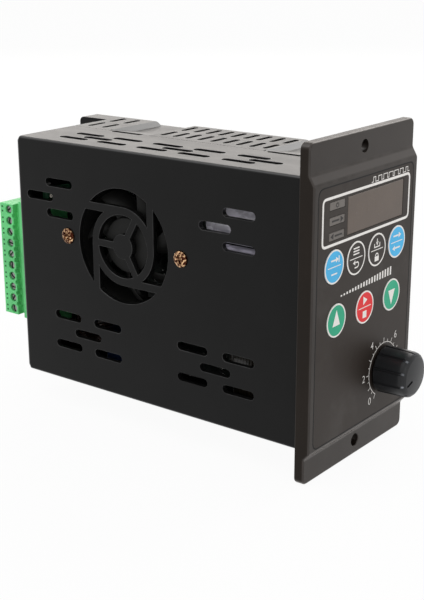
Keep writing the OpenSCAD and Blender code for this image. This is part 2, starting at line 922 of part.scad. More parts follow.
module pot_washer() {
    color("silver")
        difference() {
            bar_y(dial_x, dial_z, washer_d, face_y - washer_t, face_y);
            bar_y(dial_x, dial_z, bushing_d + 2 * fit, face_y - washer_t - past, face_y + past);
        }
}

module control_board() {
    color("darkgreen")
        difference() {
            box(-well_x + board_edge, well_x - board_edge, board_y, board_y + board_t,
                -well_z + board_edge, well_z - board_edge);
            for (p = post_places)
                bar_y(p[0], p[1], board_screw_d + 2 * fit, board_y - past, board_y + board_t + past);
        }
}

module key_switches() {
    color("#3a3a3c")
        for (k = key_places)
            translate([k[0], 0, k[1]])
                difference() {
                    along_y(board_y - switch_h, board_y)
                        square(switch_w, center = true);
                    bar_y(0, 0, stem_d + 2 * fit, board_y - switch_h - past,
                        board_y - switch_h + stem_in + key_travel + fit);
                }
}

module led_display() {
    color("#e8e4dc")
        along_y(inner_y + fit, board_y)
            translate([window_x, window_z])
                square([window_w - 2.6, window_h - 0.4], center = true);
}

module status_leds() {
    color("palegreen")
        for (s = [-1:1])
            translate([status_x, 0, window_z + s * status_pitch]) {
                bar_y(0, 0, led_d, inner_y - fit, board_y);
                bar_y(0, 0, led_d + 0.8, board_y - 1, board_y);
            }
}

// Screws of both boards: pan heads with a cross recess
module board_screw(l) {
    difference() {
        union() {
            cylinder(d = board_head_d, h = board_head_t);
            translate([0, 0, -l])
                cylinder(d = board_screw_d, h = l + past / 2);
        }
        for (a = [0, 90])
            rotate(a)
                translate([-1.5, -0.35, board_head_t - 0.8])
                    cube([3, 0.7, 2]);
    }
}

module board_screws() {
    color("silver") {
        for (p = post_places)
            translate([p[0], board_y + board_t, p[1]])
                rotate([-90, 0, 0])
                    board_screw(board_screw_l);
        for (p = standoffs)
            translate([board_x, p[0], p[1]])
                rotate([0, -90, 0])
                    board_screw(board_screw_l);
    }
}

// Pin strip that joins the two boards at a right angle
module board_link() {
    link_w = 5;
    link_l = 6;
    link_h = 17;
    link_z = cap_top_z - 1.5 * cap_d - 2 * cap_gap - link_h / 2;
    groove = 1;
    color("#1f1f22")
        difference() {
            box(board_x - link_w, board_x, board_y + board_t, board_y0 + link_l, link_z - link_h / 2,
                link_z + link_h / 2);
            for (i = [-2:2])
                box(board_x - link_w - past, board_x - link_w + groove, board_y + board_t + 2 * groove,
                    board_y0 + link_l - 2 * groove, link_z + i * pin_pitch - groove / 2,
                    link_z + i * pin_pitch + groove / 2);
        }
}

module power_board() {
    air_w = 44;
    air_h = 14;
    air_up = 13;
    color("green")
        difference() {
            box(board_x, board_x + board_t, board_y0, board_y1, -board_half, board_half);
            along_x(board_x - past, board_x + board_t + past)
                translate([fan_y, fan_z + air_up])
                    slot(air_w, air_h);
            for (p = standoffs)
                bar_x(p[0], p[1], board_screw_d + 2 * fit, board_x - past, board_x + board_t + past);
            for (z = way_z)
                bar_x(tail_y, z, pin_d + fit, board_x - past, board_x + board_t + past);
        }
}

module board_standoffs() {
    color("khaki")
        for (p = standoffs)
            difference() {
                bar_x(p[0], p[1], standoff_d, board_x + board_t, sink_x);
                bar_x(p[0], p[1], board_screw_d, board_x, sink_x - past);
            }
}

// Extruded heat sink: base, thin fins and two thick edges that take the side screws
module heat_sink() {
    fin_t = 1.8;
    fin_x = right_in - 1.5;
    span = sink_h - 2 * sink_edge;
    step = span / (fins + 1);
    color("#b9bcc0")
        difference() {
            along_y(sink_y0, sink_y0 + sink_l) {
                translate([sink_x, -sink_h / 2])
                    square([sink_base_t, sink_h]);
                for (i = [1:fins])
                    translate([sink_x, -span / 2 + i * step - fin_t / 2])
                        square([fin_x - sink_x, fin_t]);
                for (s = [-1, 1])
                    translate([sink_x, s * sink_side - sink_edge / 2])
                        square([right_in - sink_x, sink_edge]);
            }
            for (p = sink_screws)
                bar_x(p[0], p[1], sink_screw_d, right - sink_tap_l, right_in + past);
        }
}

module heat_sink_screws() {
    color("silver")
        for (p = sink_screws)
            difference() {
                union() {
                    bar_x(p[0], p[1], sink_head_d, right, right + sink_head_t);
                    bar_x(p[0], p[1], sink_screw_d, right - sink_screw_l, right + past);
                }
                for (a = [0, 90])
                    translate([right + sink_head_t - 0.9, p[0], p[1]])
                        rotate([a, 0, 0])
                            translate([0, -1.6, -0.4])
                                cube([2, 3.2, 0.8]);
            }
}

module power_module() {
    w = 44;
    h = 27;
    color("#26262a")
        box(board_x + board_t + fit, sink_x, fan_y - w / 2, fan_y + w / 2, -h / 2, h / 2);
}

module bus_capacitors() {
    y0 = board_y0 + cap_in;
    color("#c9c6d8")
        for (z = [cap_top_z, cap_top_z - cap_d - cap_gap])
            bar_y(board_x - cap_d / 2, z, cap_d, y0, y0 + cap_l);
}

module transformer() {
    y1 = coil_y0 + (coil_l - core_l) / 2;
    z1 = tall_z0 + (core_h - coil_h) / 2;
    color("#d8b23a") {
        box(board_x - core_w, board_x, y1, y1 + core_l, tall_z0, tall_z0 + core_h);
        box(board_x - coil_w, board_x, coil_y0, coil_y0 + coil_l, z1, z1 + coil_h);
    }
}

module line_choke() {
    color("#7a4a2a")
        difference() {
            bar_x(choke_y, choke_z, choke_d, board_x - choke_t, board_x);
            bar_x(choke_y, choke_z, choke_hole_d, board_x - choke_t - past, board_x + past);
        }
}

module relay() {
    color("#2d5fae")
        box(board_x - relay_w, board_x, relay_y1 - relay_l, relay_y1, tall_z0, tall_z0 + relay_w);
}

// Round fan frame with two screw ears, three struts and the bearing tube
module fan_frame() {
    strut_w = 3;
    color("#232325")
        translate([0, fan_y, fan_z])
            difference() {
                union() {
                    along_x(fan_x0, fan_x1)
                        difference() {
                            circle(fan_d / 2);
                            circle(fan_bore_d / 2);
                        }
                    along_x(fan_x0, fan_x0 + ear_t)
                        difference() {
                            union() {
                                square([fan_screw_pitch, 2 * ear_r], center = true);
                                for (s = [-1, 1])
                                    translate([s * fan_screw_pitch / 2, 0])
                                        circle(ear_r);
                            }
                            circle(fan_d / 2 - 0.5);
                        }
                    along_x(fan_x1 - fan_base_t, fan_x1) {
                        circle(fan_base_d / 2);
                        for (a = [30, 150, 270])
                            rotate(a)
                                translate([0, -strut_w / 2])
                                    square([fan_bore_d / 2 + 0.5, strut_w]);
                    }
                    bar_x(0, 0, tube_d, rotor_x0 + rotor_wall + free, fan_x1);
                }
                bar_x(0, 0, axle_d + 2 * run, fan_x0, fan_x1 + past);
                for (s = [-1, 1])
                    bar_x(s * fan_screw_pitch / 2, 0, fan_pilot_d, fan_x0 - past, fan_x0 + ear_t + past);
            }
}

module fan_stator() {
    poles = 4;
    out_d = rotor_hub_d - 2 * rotor_wall - 2 * free;
    color("#a55a2a")
        translate([0, fan_y, fan_z])
            along_x(rotor_x0 + rotor_wall + free, fan_x1 - fan_base_t)
                difference() {
                    circle(out_d / 2);
                    circle(tube_d / 2 + run);
                    for (i = [0:poles - 1])
                        rotate(i * 360 / poles)
                            translate([tube_d / 2 + 1.2, -0.8])
                                square([out_d, 1.6]);
                }
}

// Rotor: a cup-shaped hub, its axle and tilted blades
module fan_rotor() {
    mid = (rotor_x0 + rotor_x1) / 2;
    tip_d = fan_bore_d - 2 * free;
    blade_w = (rotor_x1 - rotor_x0 - blade_t) / cos(blade_tilt) - 0.5;
    root_d = rotor_hub_d - rotor_wall;
    color("#1b1b1d")
        translate([0, fan_y, fan_z]) {
            difference() {
                bar_x(0, 0, rotor_hub_d, rotor_x0, rotor_x1);
                bar_x(0, 0, rotor_hub_d - 2 * rotor_wall, rotor_x0 + rotor_wall, rotor_x1 + past);
            }
            bar_x(0, 0, axle_d, rotor_x0, fan_x1 - fit);
            intersection() {
                difference() {
                    bar_x(0, 0, tip_d, rotor_x0, rotor_x1);
                    bar_x(0, 0, root_d, rotor_x0 - past, rotor_x1 + past);
                }
                for (i = [0:blades - 1])
                    rotate([i * 360 / blades, 0, 0])
                        translate([mid, 0, 0])
                            rotate([0, 0, blade_tilt])
                                translate([-blade_w / 2, -blade_t / 2, root_d / 2 - 2])
                                    cube([blade_w, blade_t, tip_d / 2]);
            }
        }
}

module fan_screws() {
    head_t = 1.8;
    color("peru")
        for (s = [-1, 1])
            translate([left + screw_sink, fan_y + s * fan_screw_pitch / 2, fan_z])
                difference() {
                    union() {
                        bar_x(0, 0, fan_head_d, -head_t, 0);
                        bar_x(0, 0, fan_pilot_d, -past, wall - screw_sink + ear_t);
                    }
                    for (a = [0, 90])
                        rotate([a, 0, 0])
                            translate([-head_t - past, -1.7, -0.45])
                                cube([past + 1, 3.4, 0.9]);
                }
}

// Header: a socket on the power board that stands out of the rear wall
module terminal_header() {
    color("mediumseagreen")
        difference() {
            box(header_x0, header_x1, header_y0, header_end, term_z - header_half, term_z + header_half);
            box(tongue_x0 - fit, tongue_x1 + fit, tongue_y0 - fit, header_end + past,
                term_z - block_l / 2 - fit, term_z + block_l / 2 + fit);
            for (z = way_z) {
                bar_y(pin_x, z, pin_d, header_y0 + past, tongue_y0 + past);
                bar_x(tail_y, z, pin_d, pin_x, header_x1 + past);
            }
        }
}

module header_pins() {
    color("silver")
        for (z = way_z) {
            bar_y(pin_x, z, pin_d, header_y0 + past, pin_end);
            bar_x(tail_y, z, pin_d, pin_x, header_x1 + board_t + past);
        }
}

// Plug: a screw block with a chamber for each way, and a tongue that goes into the header
module terminal_plug() {
    lip = 0.9;
    scallop_d = 2.6;
    scallop_out = 0.4;
    chamber_w = cage_w + 2 * fit;
    chamber_l = cage_l + 2 * fit;
    entry_w = 2.8;
    color("lightgreen")
        difference() {
            union() {
                box(plug_x0, plug_x1, block_y0, block_y1, term_z - block_l / 2, term_z + block_l / 2);
                box(tongue_x0, tongue_x1, tongue_y0, block_y0 + past, term_z - block_l / 2 + fit,
                    term_z + block_l / 2 - fit);
                for (z = way_z)
                    box(tongue_x0 - fit, tongue_x0 + past, header_end + fit, block_y0 + past, z - lip,
                        z + lip);
            }
            for (z = way_z) {
                bar_x(screw_y, z, term_head_d + 0.4, plug_x0 - past, ledge_x);
                bar_x(screw_y, z, term_screw_d + 0.2, ledge_x - past, chamber_x0 + past);
                box(chamber_x0, chamber_x1, screw_y - chamber_l / 2, screw_y + chamber_l / 2,
                    z - chamber_w / 2, z + chamber_w / 2);
                box(cage_x0 + cage_t, cage_x0 + cage_t + wire_h, screw_y, block_y1 + past,
                    z - entry_w / 2, z + entry_w / 2);
                bar_y(pin_x, z, pin_d + 2 * fit, tongue_y0 - past, pin_end + free);
            }
            for (i = [1:ways - 1])
                bar_x(block_y0 - scallop_out, way_z[i] - way_pitch / 2, scallop_d, plug_x0 - past,
                    tongue_x0 - fit);
        }
}

// Terminal screw: a slotted head on its ledge, with the thread in the wire clamp
module terminal_screw(way) {
    head_x = plug_x0 + head_in;
    color("lightgray")
        translate([0, screw_y, way_z[way - 1]])
            difference() {
                union() {
                    bar_x(0, 0, term_head_d, head_x, head_x + head_t);
                    bar_x(0, 0, term_screw_d, head_x + head_t - past / 2, screw_end);
                }
                rotate([35 + 47 * way, 0, 0])
                    box(head_x - past, head_x + 0.8, -term_head_d, term_head_d, -0.35, 0.35);
            }
}

// Wire clamp: a cage that the screw draws towards its head
module wire_clamp(way) {
    wire_w = 2.6;
    color("silver")
        translate([cage_x0, screw_y, way_z[way - 1]])
            difference() {
                box(0, cage_h, -cage_l / 2, cage_l / 2, -cage_w / 2, cage_w / 2);
                box(cage_t, cage_t + wire_h, -cage_l, cage_l, -wire_w / 2, wire_w / 2);
                bar_x(0, 0, term_screw_d + 2 * run, -past, screw_reach + clamp_travel + free);
            }
}

left_shell();
right_shell();
front_frame();
keypad_overlay();
display_window();
status_windows();
for (i = [0:len(key_names) - 1])
    key(key_places[i], key_colours[i]);
speed_knob();
pot_shaft();
pot_body();
pot_nut();
pot_washer();
control_board();
key_switches();
led_display();
status_leds();
board_screws();
board_link();
power_board();
board_standoffs();
heat_sink();
heat_sink_screws();
power_module();
bus_capacitors();
transformer();
line_choke();
relay();
fan_frame();
fan_stator();
fan_rotor();
fan_screws();
terminal_header();
header_pins();
terminal_plug();
for (i = [1:ways])
    terminal_screw(i);
for (i = [1:ways])
    wire_clamp(i);
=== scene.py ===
import json
import math

import bmesh
import bpy
import numpy as np
from mathutils import Matrix, Vector

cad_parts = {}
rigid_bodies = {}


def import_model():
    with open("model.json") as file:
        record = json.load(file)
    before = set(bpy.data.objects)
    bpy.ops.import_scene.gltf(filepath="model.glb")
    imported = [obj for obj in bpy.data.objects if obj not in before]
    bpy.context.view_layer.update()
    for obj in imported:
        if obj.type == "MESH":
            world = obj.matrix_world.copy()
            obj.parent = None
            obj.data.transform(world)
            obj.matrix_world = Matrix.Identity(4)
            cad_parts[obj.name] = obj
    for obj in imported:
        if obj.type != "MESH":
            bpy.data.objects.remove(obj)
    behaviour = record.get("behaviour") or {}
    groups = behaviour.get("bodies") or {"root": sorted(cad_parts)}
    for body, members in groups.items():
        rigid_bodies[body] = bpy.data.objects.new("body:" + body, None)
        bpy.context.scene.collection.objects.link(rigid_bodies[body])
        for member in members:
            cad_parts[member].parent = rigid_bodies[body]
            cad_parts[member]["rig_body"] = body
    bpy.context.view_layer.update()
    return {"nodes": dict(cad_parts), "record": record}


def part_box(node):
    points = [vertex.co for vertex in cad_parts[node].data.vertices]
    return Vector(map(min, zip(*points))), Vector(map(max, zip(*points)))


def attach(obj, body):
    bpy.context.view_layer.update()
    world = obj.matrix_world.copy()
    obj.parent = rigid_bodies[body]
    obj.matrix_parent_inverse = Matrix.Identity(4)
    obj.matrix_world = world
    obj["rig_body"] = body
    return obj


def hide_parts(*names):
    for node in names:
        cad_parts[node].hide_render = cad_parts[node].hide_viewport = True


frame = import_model()
nodes = frame["nodes"]
mm = 0.001  # shapes are worked out in millimetres, meshes are stored in metres
tiny = 1e-7  # metres within which points are one
print("frame loaded:", len(nodes), "nodes")


def boxOf(node):  # a node's lowest corner, highest corner and middle, in millimetres
    low, high = (np.array(corner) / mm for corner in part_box(node))
    return low, high, (low + high) / 2


# Camera at the photograph's angle
view = {
    "azimuth": -52.24,  # degrees
    "elevation": 17.49,
    "roll": -0.187,
    "lens": 71.04,  # millimetres
    "sensor": 36,
    "near": 0.01,  # metres within which nothing is drawn
    "place": (-374.23, -222.78, 135.01),  # millimetres
}


def makeCamera():
    data = bpy.data.cameras.new("camera")
    data.lens = view["lens"]
    data.sensor_width = view["sensor"]
    data.clip_start = view["near"]
    camera = bpy.data.objects.new("camera", data)
    turn = Matrix.Rotation(math.radians(view["azimuth"]), 4, "Z")
    tip = Matrix.Rotation(math.radians(90 - view["elevation"]), 4, "X")
    roll = Matrix.Rotation(math.radians(view["roll"]), 4, "Z")
    camera.matrix_world = Matrix.Translation(Vector(view["place"]) * mm) @ turn @ tip @ roll
    bpy.context.scene.collection.objects.link(camera)
    bpy.context.scene.camera = camera


makeCamera()
print("camera made")


class Wire:  # one output socket; arithmetic on it adds Math nodes
    def __init__(self, net, socket):
        self.net, self.socket = net, socket

    def math(self, operation, *values):
        return self.net.add("Math", {"operation": operation}, dict(enumerate(values)))

    def __add__(self, other):
        return self.math("ADD", self, other)

    def __radd__(self, other):
        return self.math("ADD", other, self)

    def __sub__(self, other):
        return self.math("SUBTRACT", self, other)

    def __rsub__(self, other):
        return self.math("SUBTRACT", other, self)

    def __mul__(self, other):
        return self.math("MULTIPLY", self, other)

    def __rmul__(self, other):
        return self.math("MULTIPLY", other, self)


class Net:  # the node tree of a material or of the world
    def __init__(self, owner):
        owner.use_nodes = True
        self.owner, self.tree = owner, owner.node_tree
        self.tree.nodes.clear()

    def add(self, kind, settings=None, sockets=None, out=0):
        node = self.tree.nodes.new("ShaderNode" + kind)
        for key, value in (settings or {}).items():
            setattr(node, key, value)
        for key, value in (sockets or {}).items():
            if isinstance(value, Wire):
                self.tree.links.new(value.socket, node.inputs[key])
            else:
                node.inputs[key].default_value = value
        return Wire(self, node.outputs[out]) if node.outputs else None

    def mix(self, share, first, second):  # from the first colour to the second
        return self.add("Mix", {"data_type": "RGBA"}, {0: share, 6: first, 7: second}, 2)

    def band(self, value, low, high, start=0.0, end=1.0):  # start below low, end above high, smooth between
        limits = {"Value": value, "From Min": low, "From Max": high, "To Min": start, "To Max": end}
        return self.add("MapRange", {"interpolation_type": "SMOOTHSTEP"}, limits)

    def here(self):
        return self.add("TexCoord", {}, {}, "Object")

    def noise(self, size, detail=3.0, rough=0.55, stretch=(1, 1, 1)):  # size of one patch in millimetres
        place = self.add("Mapping", {}, {"Vector": self.here(), "Scale": stretch})
        return self.add("TexNoise", {}, {"Vector": place, "Scale": 1 / (size * mm), "Detail": detail,
                                         "Roughness": rough})

    def bump(self, height, depth):  # depth in millimetres
        return self.add("Bump", {}, {"Height": height, "Distance": depth * mm, "Strength": 1.0})

    def attribute(self, name):
        return self.add("Attribute", {"attribute_name": name}, {}, "Fac")

    def surface(self, **sockets):
        names = {key.replace("_", " "): value for key, value in sockets.items()}
        shader = self.add("BsdfPrincipled", {}, names)
        self.add("OutputMaterial", {}, {"Surface": shader})
        return self.owner


def rgb(red, green, blue):  # a screen colour of 0 to 255 in linear light
    share = np.array([red, green, blue]) / 255
    linear = np.where(share <= 0.04045, share / 12.92, ((share + 0.055) / 1.055) ** 2.4)
    return (*linear.tolist(), 1.0)


def scaled(colour, factor):
    return (*[min(1.0, part * factor) for part in colour[:3]], 1.0)


def newNet(name):
    return Net(bpy.data.materials.new(name))


neutral, warm = (1.0, 1.0, 1.0, 1.0), (1.0, 0.9, 0.83, 1.0)  # tones of the mirror light on plastics


def moulded(name, colour, gloss, shine, grain=0.16, depth=0.006, wear=1.6, polish=0, tone=neutral, lift=0):
    # Moulded plastic: spark-eroded grain in the bump, flow marks in the colour, rounded edges that are paler,
    # partly from wear and partly as a painted highlight, and by the polish glossier; by the lift, slanted and
    # forward faces are glossier too
    net = newNet(name)
    fine = net.noise(grain, 2.0)
    flow = net.noise(22, 4.0, 0.6)
    smear = net.noise(9, 5.0, 0.65, (1, 0.35, 1))
    wearAndHighlight = net.attribute("edge") * net.band(net.noise(5, 3.0), 0.3, 0.62)
    base = net.mix(net.band(flow, 0.3, 0.7), scaled(colour, 0.86), scaled(colour, 1.14))
    base = net.mix(wearAndHighlight, base, scaled(colour, wear))
    rough = gloss + (smear - 0.5) * 0.14 + (fine - 0.5) * 0.08 - wearAndHighlight * 0.06
    height = fine + net.noise(1.4, 2.0) * 0.35
    return net.surface(Base_Color=base, Roughness=rough, Normal=net.bump(height, depth),
                       Specular_IOR_Level=shine, Specular_Tint=tone,
                       Coat_Weight=wearAndHighlight * polish + net.attribute("facing") * lift, Coat_Roughness=0.3,
                       Coat_Tint=tone)


def metal(name, colour, gloss=0.3, spots=0.35, wear=1.25):
    # Plated or turned metal: fine grain, dull spots and brighter rubbed edges
    net = newNet(name)
    grain = net.noise(0.25, 3.0, 0.6)
    dull = net.band(net.noise(3.2, 4.0, 0.6), 0.5, 0.72) * spots
    base = net.mix(dull, colour, scaled(colour, 0.55))
    base = net.mix(net.attribute("edge"), base, scaled(colour, wear))
    rough = gloss + dull * 0.35 + (grain - 0.5) * 0.2
    return net.surface(Base_Color=base, Metallic=1.0, Roughness=rough, Normal=net.bump(grain, 0.004))


def tarnished(name, bright, dark):  # old copper plating: bright metal left between brown stains
    net = newNet(name)
    stain = net.band(net.noise(0.9, 4.0, 0.65), 0.38, 0.52)
    base = net.mix(stain, bright, dark)
    base = net.mix(net.attribute("edge"), base, scaled(bright, 1.2))
    rough = 0.2 + stain * 0.3 + (net.noise(0.25) - 0.5) * 0.2
    return net.surface(Base_Color=base, Metallic=1.0, Roughness=rough, Normal=net.bump(stain, 0.01))


def printedInk(name, colour, gloss=0.5):  # screen-printed ink: thin spots and the mesh's fine tooth
    net = newNet(name)
    thin = net.band(net.noise(1.1, 4.0, 0.7), 0.52, 0.8)
    tooth = net.noise(0.11, 2.0)
    base = net.mix(thin * 0.45, colour, scaled(colour, 0.72))
    return net.surface(Base_Color=base, Roughness=gloss + (tooth - 0.5) * 0.2,
                       Normal=net.bump(tooth, 0.003), Specular_IOR_Level=0.35)


def film(name, colour, gloss=0.5, shine=0.4, tone=neutral, rim=1.5):
    # Matt printed film: a soft tooth, finger marks, and a cut edge whose colour the rim scales: paler above 1
    # and darker below 1, where the darkening is a painted shade of the gap beside the edge
    net = newNet(name)
    tooth = net.noise(0.2, 3.0)
    touch = net.band(net.noise(13, 4.0, 0.6), 0.48, 0.72)
    base = net.mix(net.band(net.noise(30, 3.0), 0.3, 0.7), scaled(colour, 0.92), scaled(colour, 1.08))
    base = net.mix(net.attribute("edge"), base, scaled(colour, rim))
    rough = gloss + (tooth - 0.5) * 0.12 - touch * 0.1
    return net.surface(Base_Color=base, Roughness=rough, Normal=net.bump(tooth, 0.004),
                       Specular_IOR_Level=shine, Specular_Tint=tone)


def smokedLens(name, colour):  # smoked window: an uneven tint, dust and hairlines under a clear coat
    net = newNet(name)
    dust = net.band(net.noise(0.5, 2.0), 0.66, 0.74)
    hair = net.band(net.noise(0.6, 3.0, 0.6, (1, 1, 0.06)), 0.6, 0.7)
    base = net.mix(net.band(net.noise(16, 3.0), 0.3, 0.7), scaled(colour, 0.9), scaled(colour, 1.1))
    base = net.mix(dust * 0.2, base, rgb(190, 185, 178))
    return net.surface(Base_Color=base, Roughness=0.32 + hair * 0.12 + dust * 0.3, Specular_IOR_Level=0.4,
                       Specular_Tint=warm, Coat_Weight=0.15, Coat_Roughness=0.08)


def solderMask(name, colour):  # circuit board: copper traces under green lacquer, and bright soldered pads
    net = newNet(name)
    grid = {"Vector": net.here(), "Scale": 1 / (3.4 * mm), "Randomness": 0.55}
    spread = {"Vector": net.here(), "Scale": 1 / (2.6 * mm), "Randomness": 0.9}
    border = net.add("TexVoronoi", {"feature": "DISTANCE_TO_EDGE", "distance": "CHEBYCHEV"}, grid)
    pad = net.add("TexVoronoi", {"feature": "F1"}, spread, "Distance")
    trace = net.band(border, 0.05, 0.09, 1.0, 0.0)
    joint = net.band(pad, 0.13, 0.17, 1.0, 0.0)
    base = net.mix(trace * 0.7, colour, scaled(colour, 2.1))
    base = net.mix(joint, base, rgb(205, 205, 200))
    rough = 0.34 - joint * 0.08 + (net.noise(0.3) - 0.5) * 0.1
    return net.surface(Base_Color=base, Metallic=joint * 0.9, Roughness=rough,
                       Normal=net.bump(trace + joint * 1.6, 0.03))


def shrinkSleeve(name, colour):  # shrunk sleeve: creases and fine wrinkles, paler on the raised creases as a painted sheen, and a faint painted glow that brightens it inside the case
    net = newNet(name)
    wrinkle = net.noise(0.9, 3.0, 0.6, (1, 0.12, 1))
    creaseAndSheen = net.band(net.noise(3.0, 2.0, 0.5, (1, 0.45, 1)), 0.42, 0.6)
    base = net.mix(creaseAndSheen, scaled(colour, 0.7), scaled(colour, 1.2))
    return net.surface(Base_Color=base, Roughness=0.24 + wrinkle * 0.16,
                       Normal=net.bump(wrinkle + creaseAndSheen * 2, 0.08), Specular_IOR_Level=0.9, Coat_Weight=1.0,
                       Coat_Roughness=0.15, Emission_Color=base, Emission_Strength=0.1)


def windingTape(name, colour):  # wound tape or enamelled wire: close ridges across the winding, with painted shade darkening the troughs between them
    net = newNet(name)
    ridgeAndShade = net.add("TexWave", {"wave_type": "BANDS", "bands_direction": "Y"},
                    {"Vector": net.here(), "Scale": 1 / (4.2 * mm), "Distortion": 0.6, "Detail": 1.0})
    base = net.mix(ridgeAndShade, scaled(colour, 0.7), colour)
    return net.surface(Base_Color=base, Roughness=0.3 + ridgeAndShade * 0.12, Normal=net.bump(ridgeAndShade, 0.08),
                       Coat_Weight=0.25)


def extruded(name, colour):  # extruded aluminium: long die lines and dull oxide patches
    net = newNet(name)
    line = net.noise(0.35, 2.0, 0.6, (1, 0.01, 1))
    oxide = net.band(net.noise(6, 4.0), 0.42, 0.7)
    base = net.mix(oxide, colour, scaled(colour, 0.7))
    return net.surface(Base_Color=base, Metallic=1.0, Roughness=0.3 + oxide * 0.22 + (line - 0.5) * 0.2,
                       Normal=net.bump(line, 0.02))


def clearLamp(name, colour):  # lamp body: tinted clear resin with faint bubbles
    net = newNet(name)
    bubble = net.band(net.noise(0.7, 2.0), 0.62, 0.72)
    base = net.mix(bubble, colour, scaled(colour, 1.4))
    return net.surface(Base_Color=base, Roughness=0.15 + bubble * 0.2, Transmission_Weight=0.6, IOR=1.5)


tint = {  # colours as they look on a screen
    "shell": rgb(13, 13, 13),
    "frame": rgb(28, 23, 19),
    "overlay": rgb(40, 34, 30),
    "white": rgb(244, 241, 237),
    "smoke": rgb(82, 69, 59),
    "status": rgb(104, 98, 93),
    "blue": rgb(74, 188, 242),
    "green": rgb(36, 171, 131),
    "red": rgb(226, 28, 36),
    "terminal": rgb(108, 216, 134),
    "terminalDark": rgb(20, 104, 48),
    "copper": rgb(232, 190, 146),
    "copperStain": rgb(66, 28, 17),
    "capacitor": rgb(48, 92, 66),
    "can": rgb(214, 211, 222),
}

finish = {  # the record's slots, then finishes of single pieces
    # the wear factor pales the rounded edges of shell and frame: partly wear, partly a painted highlight
    # along them
    "shell_black": moulded("shellPlastic", tint["shell"], 0.4, 0.15, wear=3.0, polish=0.8, lift=0.9),
    "frame_black": moulded("framePlastic", tint["frame"], 0.45, 0.16, wear=1.2, polish=0.08,
                           tone=warm, lift=0.9),
    # a rim of 0.2 darkens the overlay's rounded edge: painted shade of the gap round it
    "overlay_film": film("overlayFilm", tint["overlay"], 0.5, 0.28, warm, 0.2),
    "window_smoke": smokedLens("smokedWindow", tint["smoke"]),
    "status_grey": film("statusFilm", tint["status"]),
    "key_blue": film("blueKey", tint["blue"], 0.45, 0.28),
    "key_black": film("blackKey", tint["overlay"], 0.45, 0.28, warm),
    "key_green": film("greenKey", tint["green"], 0.45, 0.28),
    "key_red": film("redKey", tint["red"], 0.45, 0.28),
    # the knob's wear factor of 26 paints bright highlights where the grooves end on the rim
    "knob_black": moulded("knobPlastic", rgb(31, 32, 34), 0.33, 0.28, 0.3, 0.003, 26.0, 1.0),
    "steel": metal("platedSteel", (0.62, 0.62, 0.61, 1.0)),
    "pot_zinc": metal("platedZinc", (0.42, 0.44, 0.47, 1.0), 0.35),
    "brass": metal("turnedBrass", (0.72, 0.52, 0.22, 1.0), 0.26),
    # the board's colour is darker than its own: painted shade of the closed case
    "board_green": solderMask("solderMask", rgb(5, 18, 11)),
    "switch_black": moulded("switchPlastic", rgb(38, 38, 40), 0.5, 0.4),
    "display_cream": moulded("displayCase", rgb(206, 200, 188), 0.5, 0.4, wear=1.1),
    "led_clear": clearLamp("clearLamp", (0.55, 0.8, 0.55, 1.0)),
    "sink_aluminium": extruded("extrudedAluminium", (0.5, 0.51, 0.52, 1.0)),
    "module_black": moulded("moduleResin", rgb(30, 30, 33), 0.55, 0.35, 0.4, 0.02),
    # the sleeve's emission is a painted glow; its paler creases are a painted sheen
    "cap_sleeve": shrinkSleeve("canSleevePaintedGlow", tint["can"]),
    # the winding tape, the wire and the relay have darker colours than their own: painted shade of the closed
    # case
    "tape_yellow": windingTape("windingTape", rgb(34, 27, 14)),
    "copper": windingTape("enamelledWire", rgb(46, 29, 19)),
    "relay_blue": moulded("relayCase", rgb(20, 38, 70), 0.35, 0.5, wear=1.3),
    "fan_black": moulded("fanPlastic", rgb(25, 25, 24), 0.5, 0.16),
    "screw_copper": tarnished("copperScrew", tint["copper"], tint["copperStain"]),
    "terminal_green": moulded("terminalPlastic", tint["terminal"], 0.5, 0.35, 0.2, 0.005, 1.25, 0.4),
    "terminalSteel": metal("terminalSteel", (0.3, 0.3, 0.29, 1.0), 0.34, spots=0.8, wear=1.6),
    "capacitorResin": moulded("capacitorResin", tint["capacitor"], 0.4, 0.3, wear=1.2),
    "whiteInk": printedInk("whiteInk", tint["white"]),
    "darkInk": printedInk("darkInk", rgb(34, 31, 30)),
    # near-black ink for the painted shade of the gap round the overlay
    "paintedGapShade": printedInk("paintedGapShade", rgb(9, 8, 8), 0.7),
    "terminalInk": printedInk("terminalInk", tint["terminalDark"]),
}
print("finishes made:", len(finish))

slotOf = {row["node"]: row["material_slot"] for row in frame["record"]["subparts"]}
for node, thing in nodes.items():  # every node starts with its slot's finish
    for place in thing.material_slots:
        place.material = finish[slotOf[node]]


def gridFaces(rows, cols, wrapRows=False, wrapCols=False):  # quads between the neighbours of a grid
    row = np.arange(rows if wrapRows else rows - 1)
    col = np.arange(cols if wrapCols else cols - 1)
    row, col = (part.ravel() for part in np.meshgrid(row, col, indexing="ij"))
    nextRow, nextCol = (row + 1) % rows, (col + 1) % cols
    return np.stack([row * cols + col, row * cols + nextCol,
                     nextRow * cols + nextCol, nextRow * cols + col], 1)


def closedFaces(rows, cols):  # quads between rings of points, with the first and last ring filled in
    ends = [list(range(cols)), list(range((rows - 1) * cols, rows * cols))]
    return gridFaces(rows, cols, wrapCols=True).tolist() + ends


def rectangle(wide, high):  # the four corners about the origin
    return np.array([[-1, -1], [1, -1], [1, 1], [-1, 1]]) * [wide / 2, high / 2]


def joined(parts):  # several sets of points and faces as one
    start = np.cumsum([0] + [len(points) for points, faces in parts])
    faces = [[corner + first for corner in face]
             for first, (points, group) in zip(start, parts) for face in np.asarray(group, object).tolist()]
    return np.vstack([points for points, group in parts]), faces


def addPiece(name, mesh, look, body, replaced, sharp):  # without a slot, the look's name is the slot's
    mesh.materials.append(finish[look])
    mesh.shade_smooth()
    mesh.set_sharp_from_angle(angle=math.radians(sharp))
    piece = bpy.data.objects.new(name, mesh)
    bpy.context.scene.collection.objects.link(piece)
    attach(piece, body)
    if replaced:
        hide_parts(*replaced)
    return piece


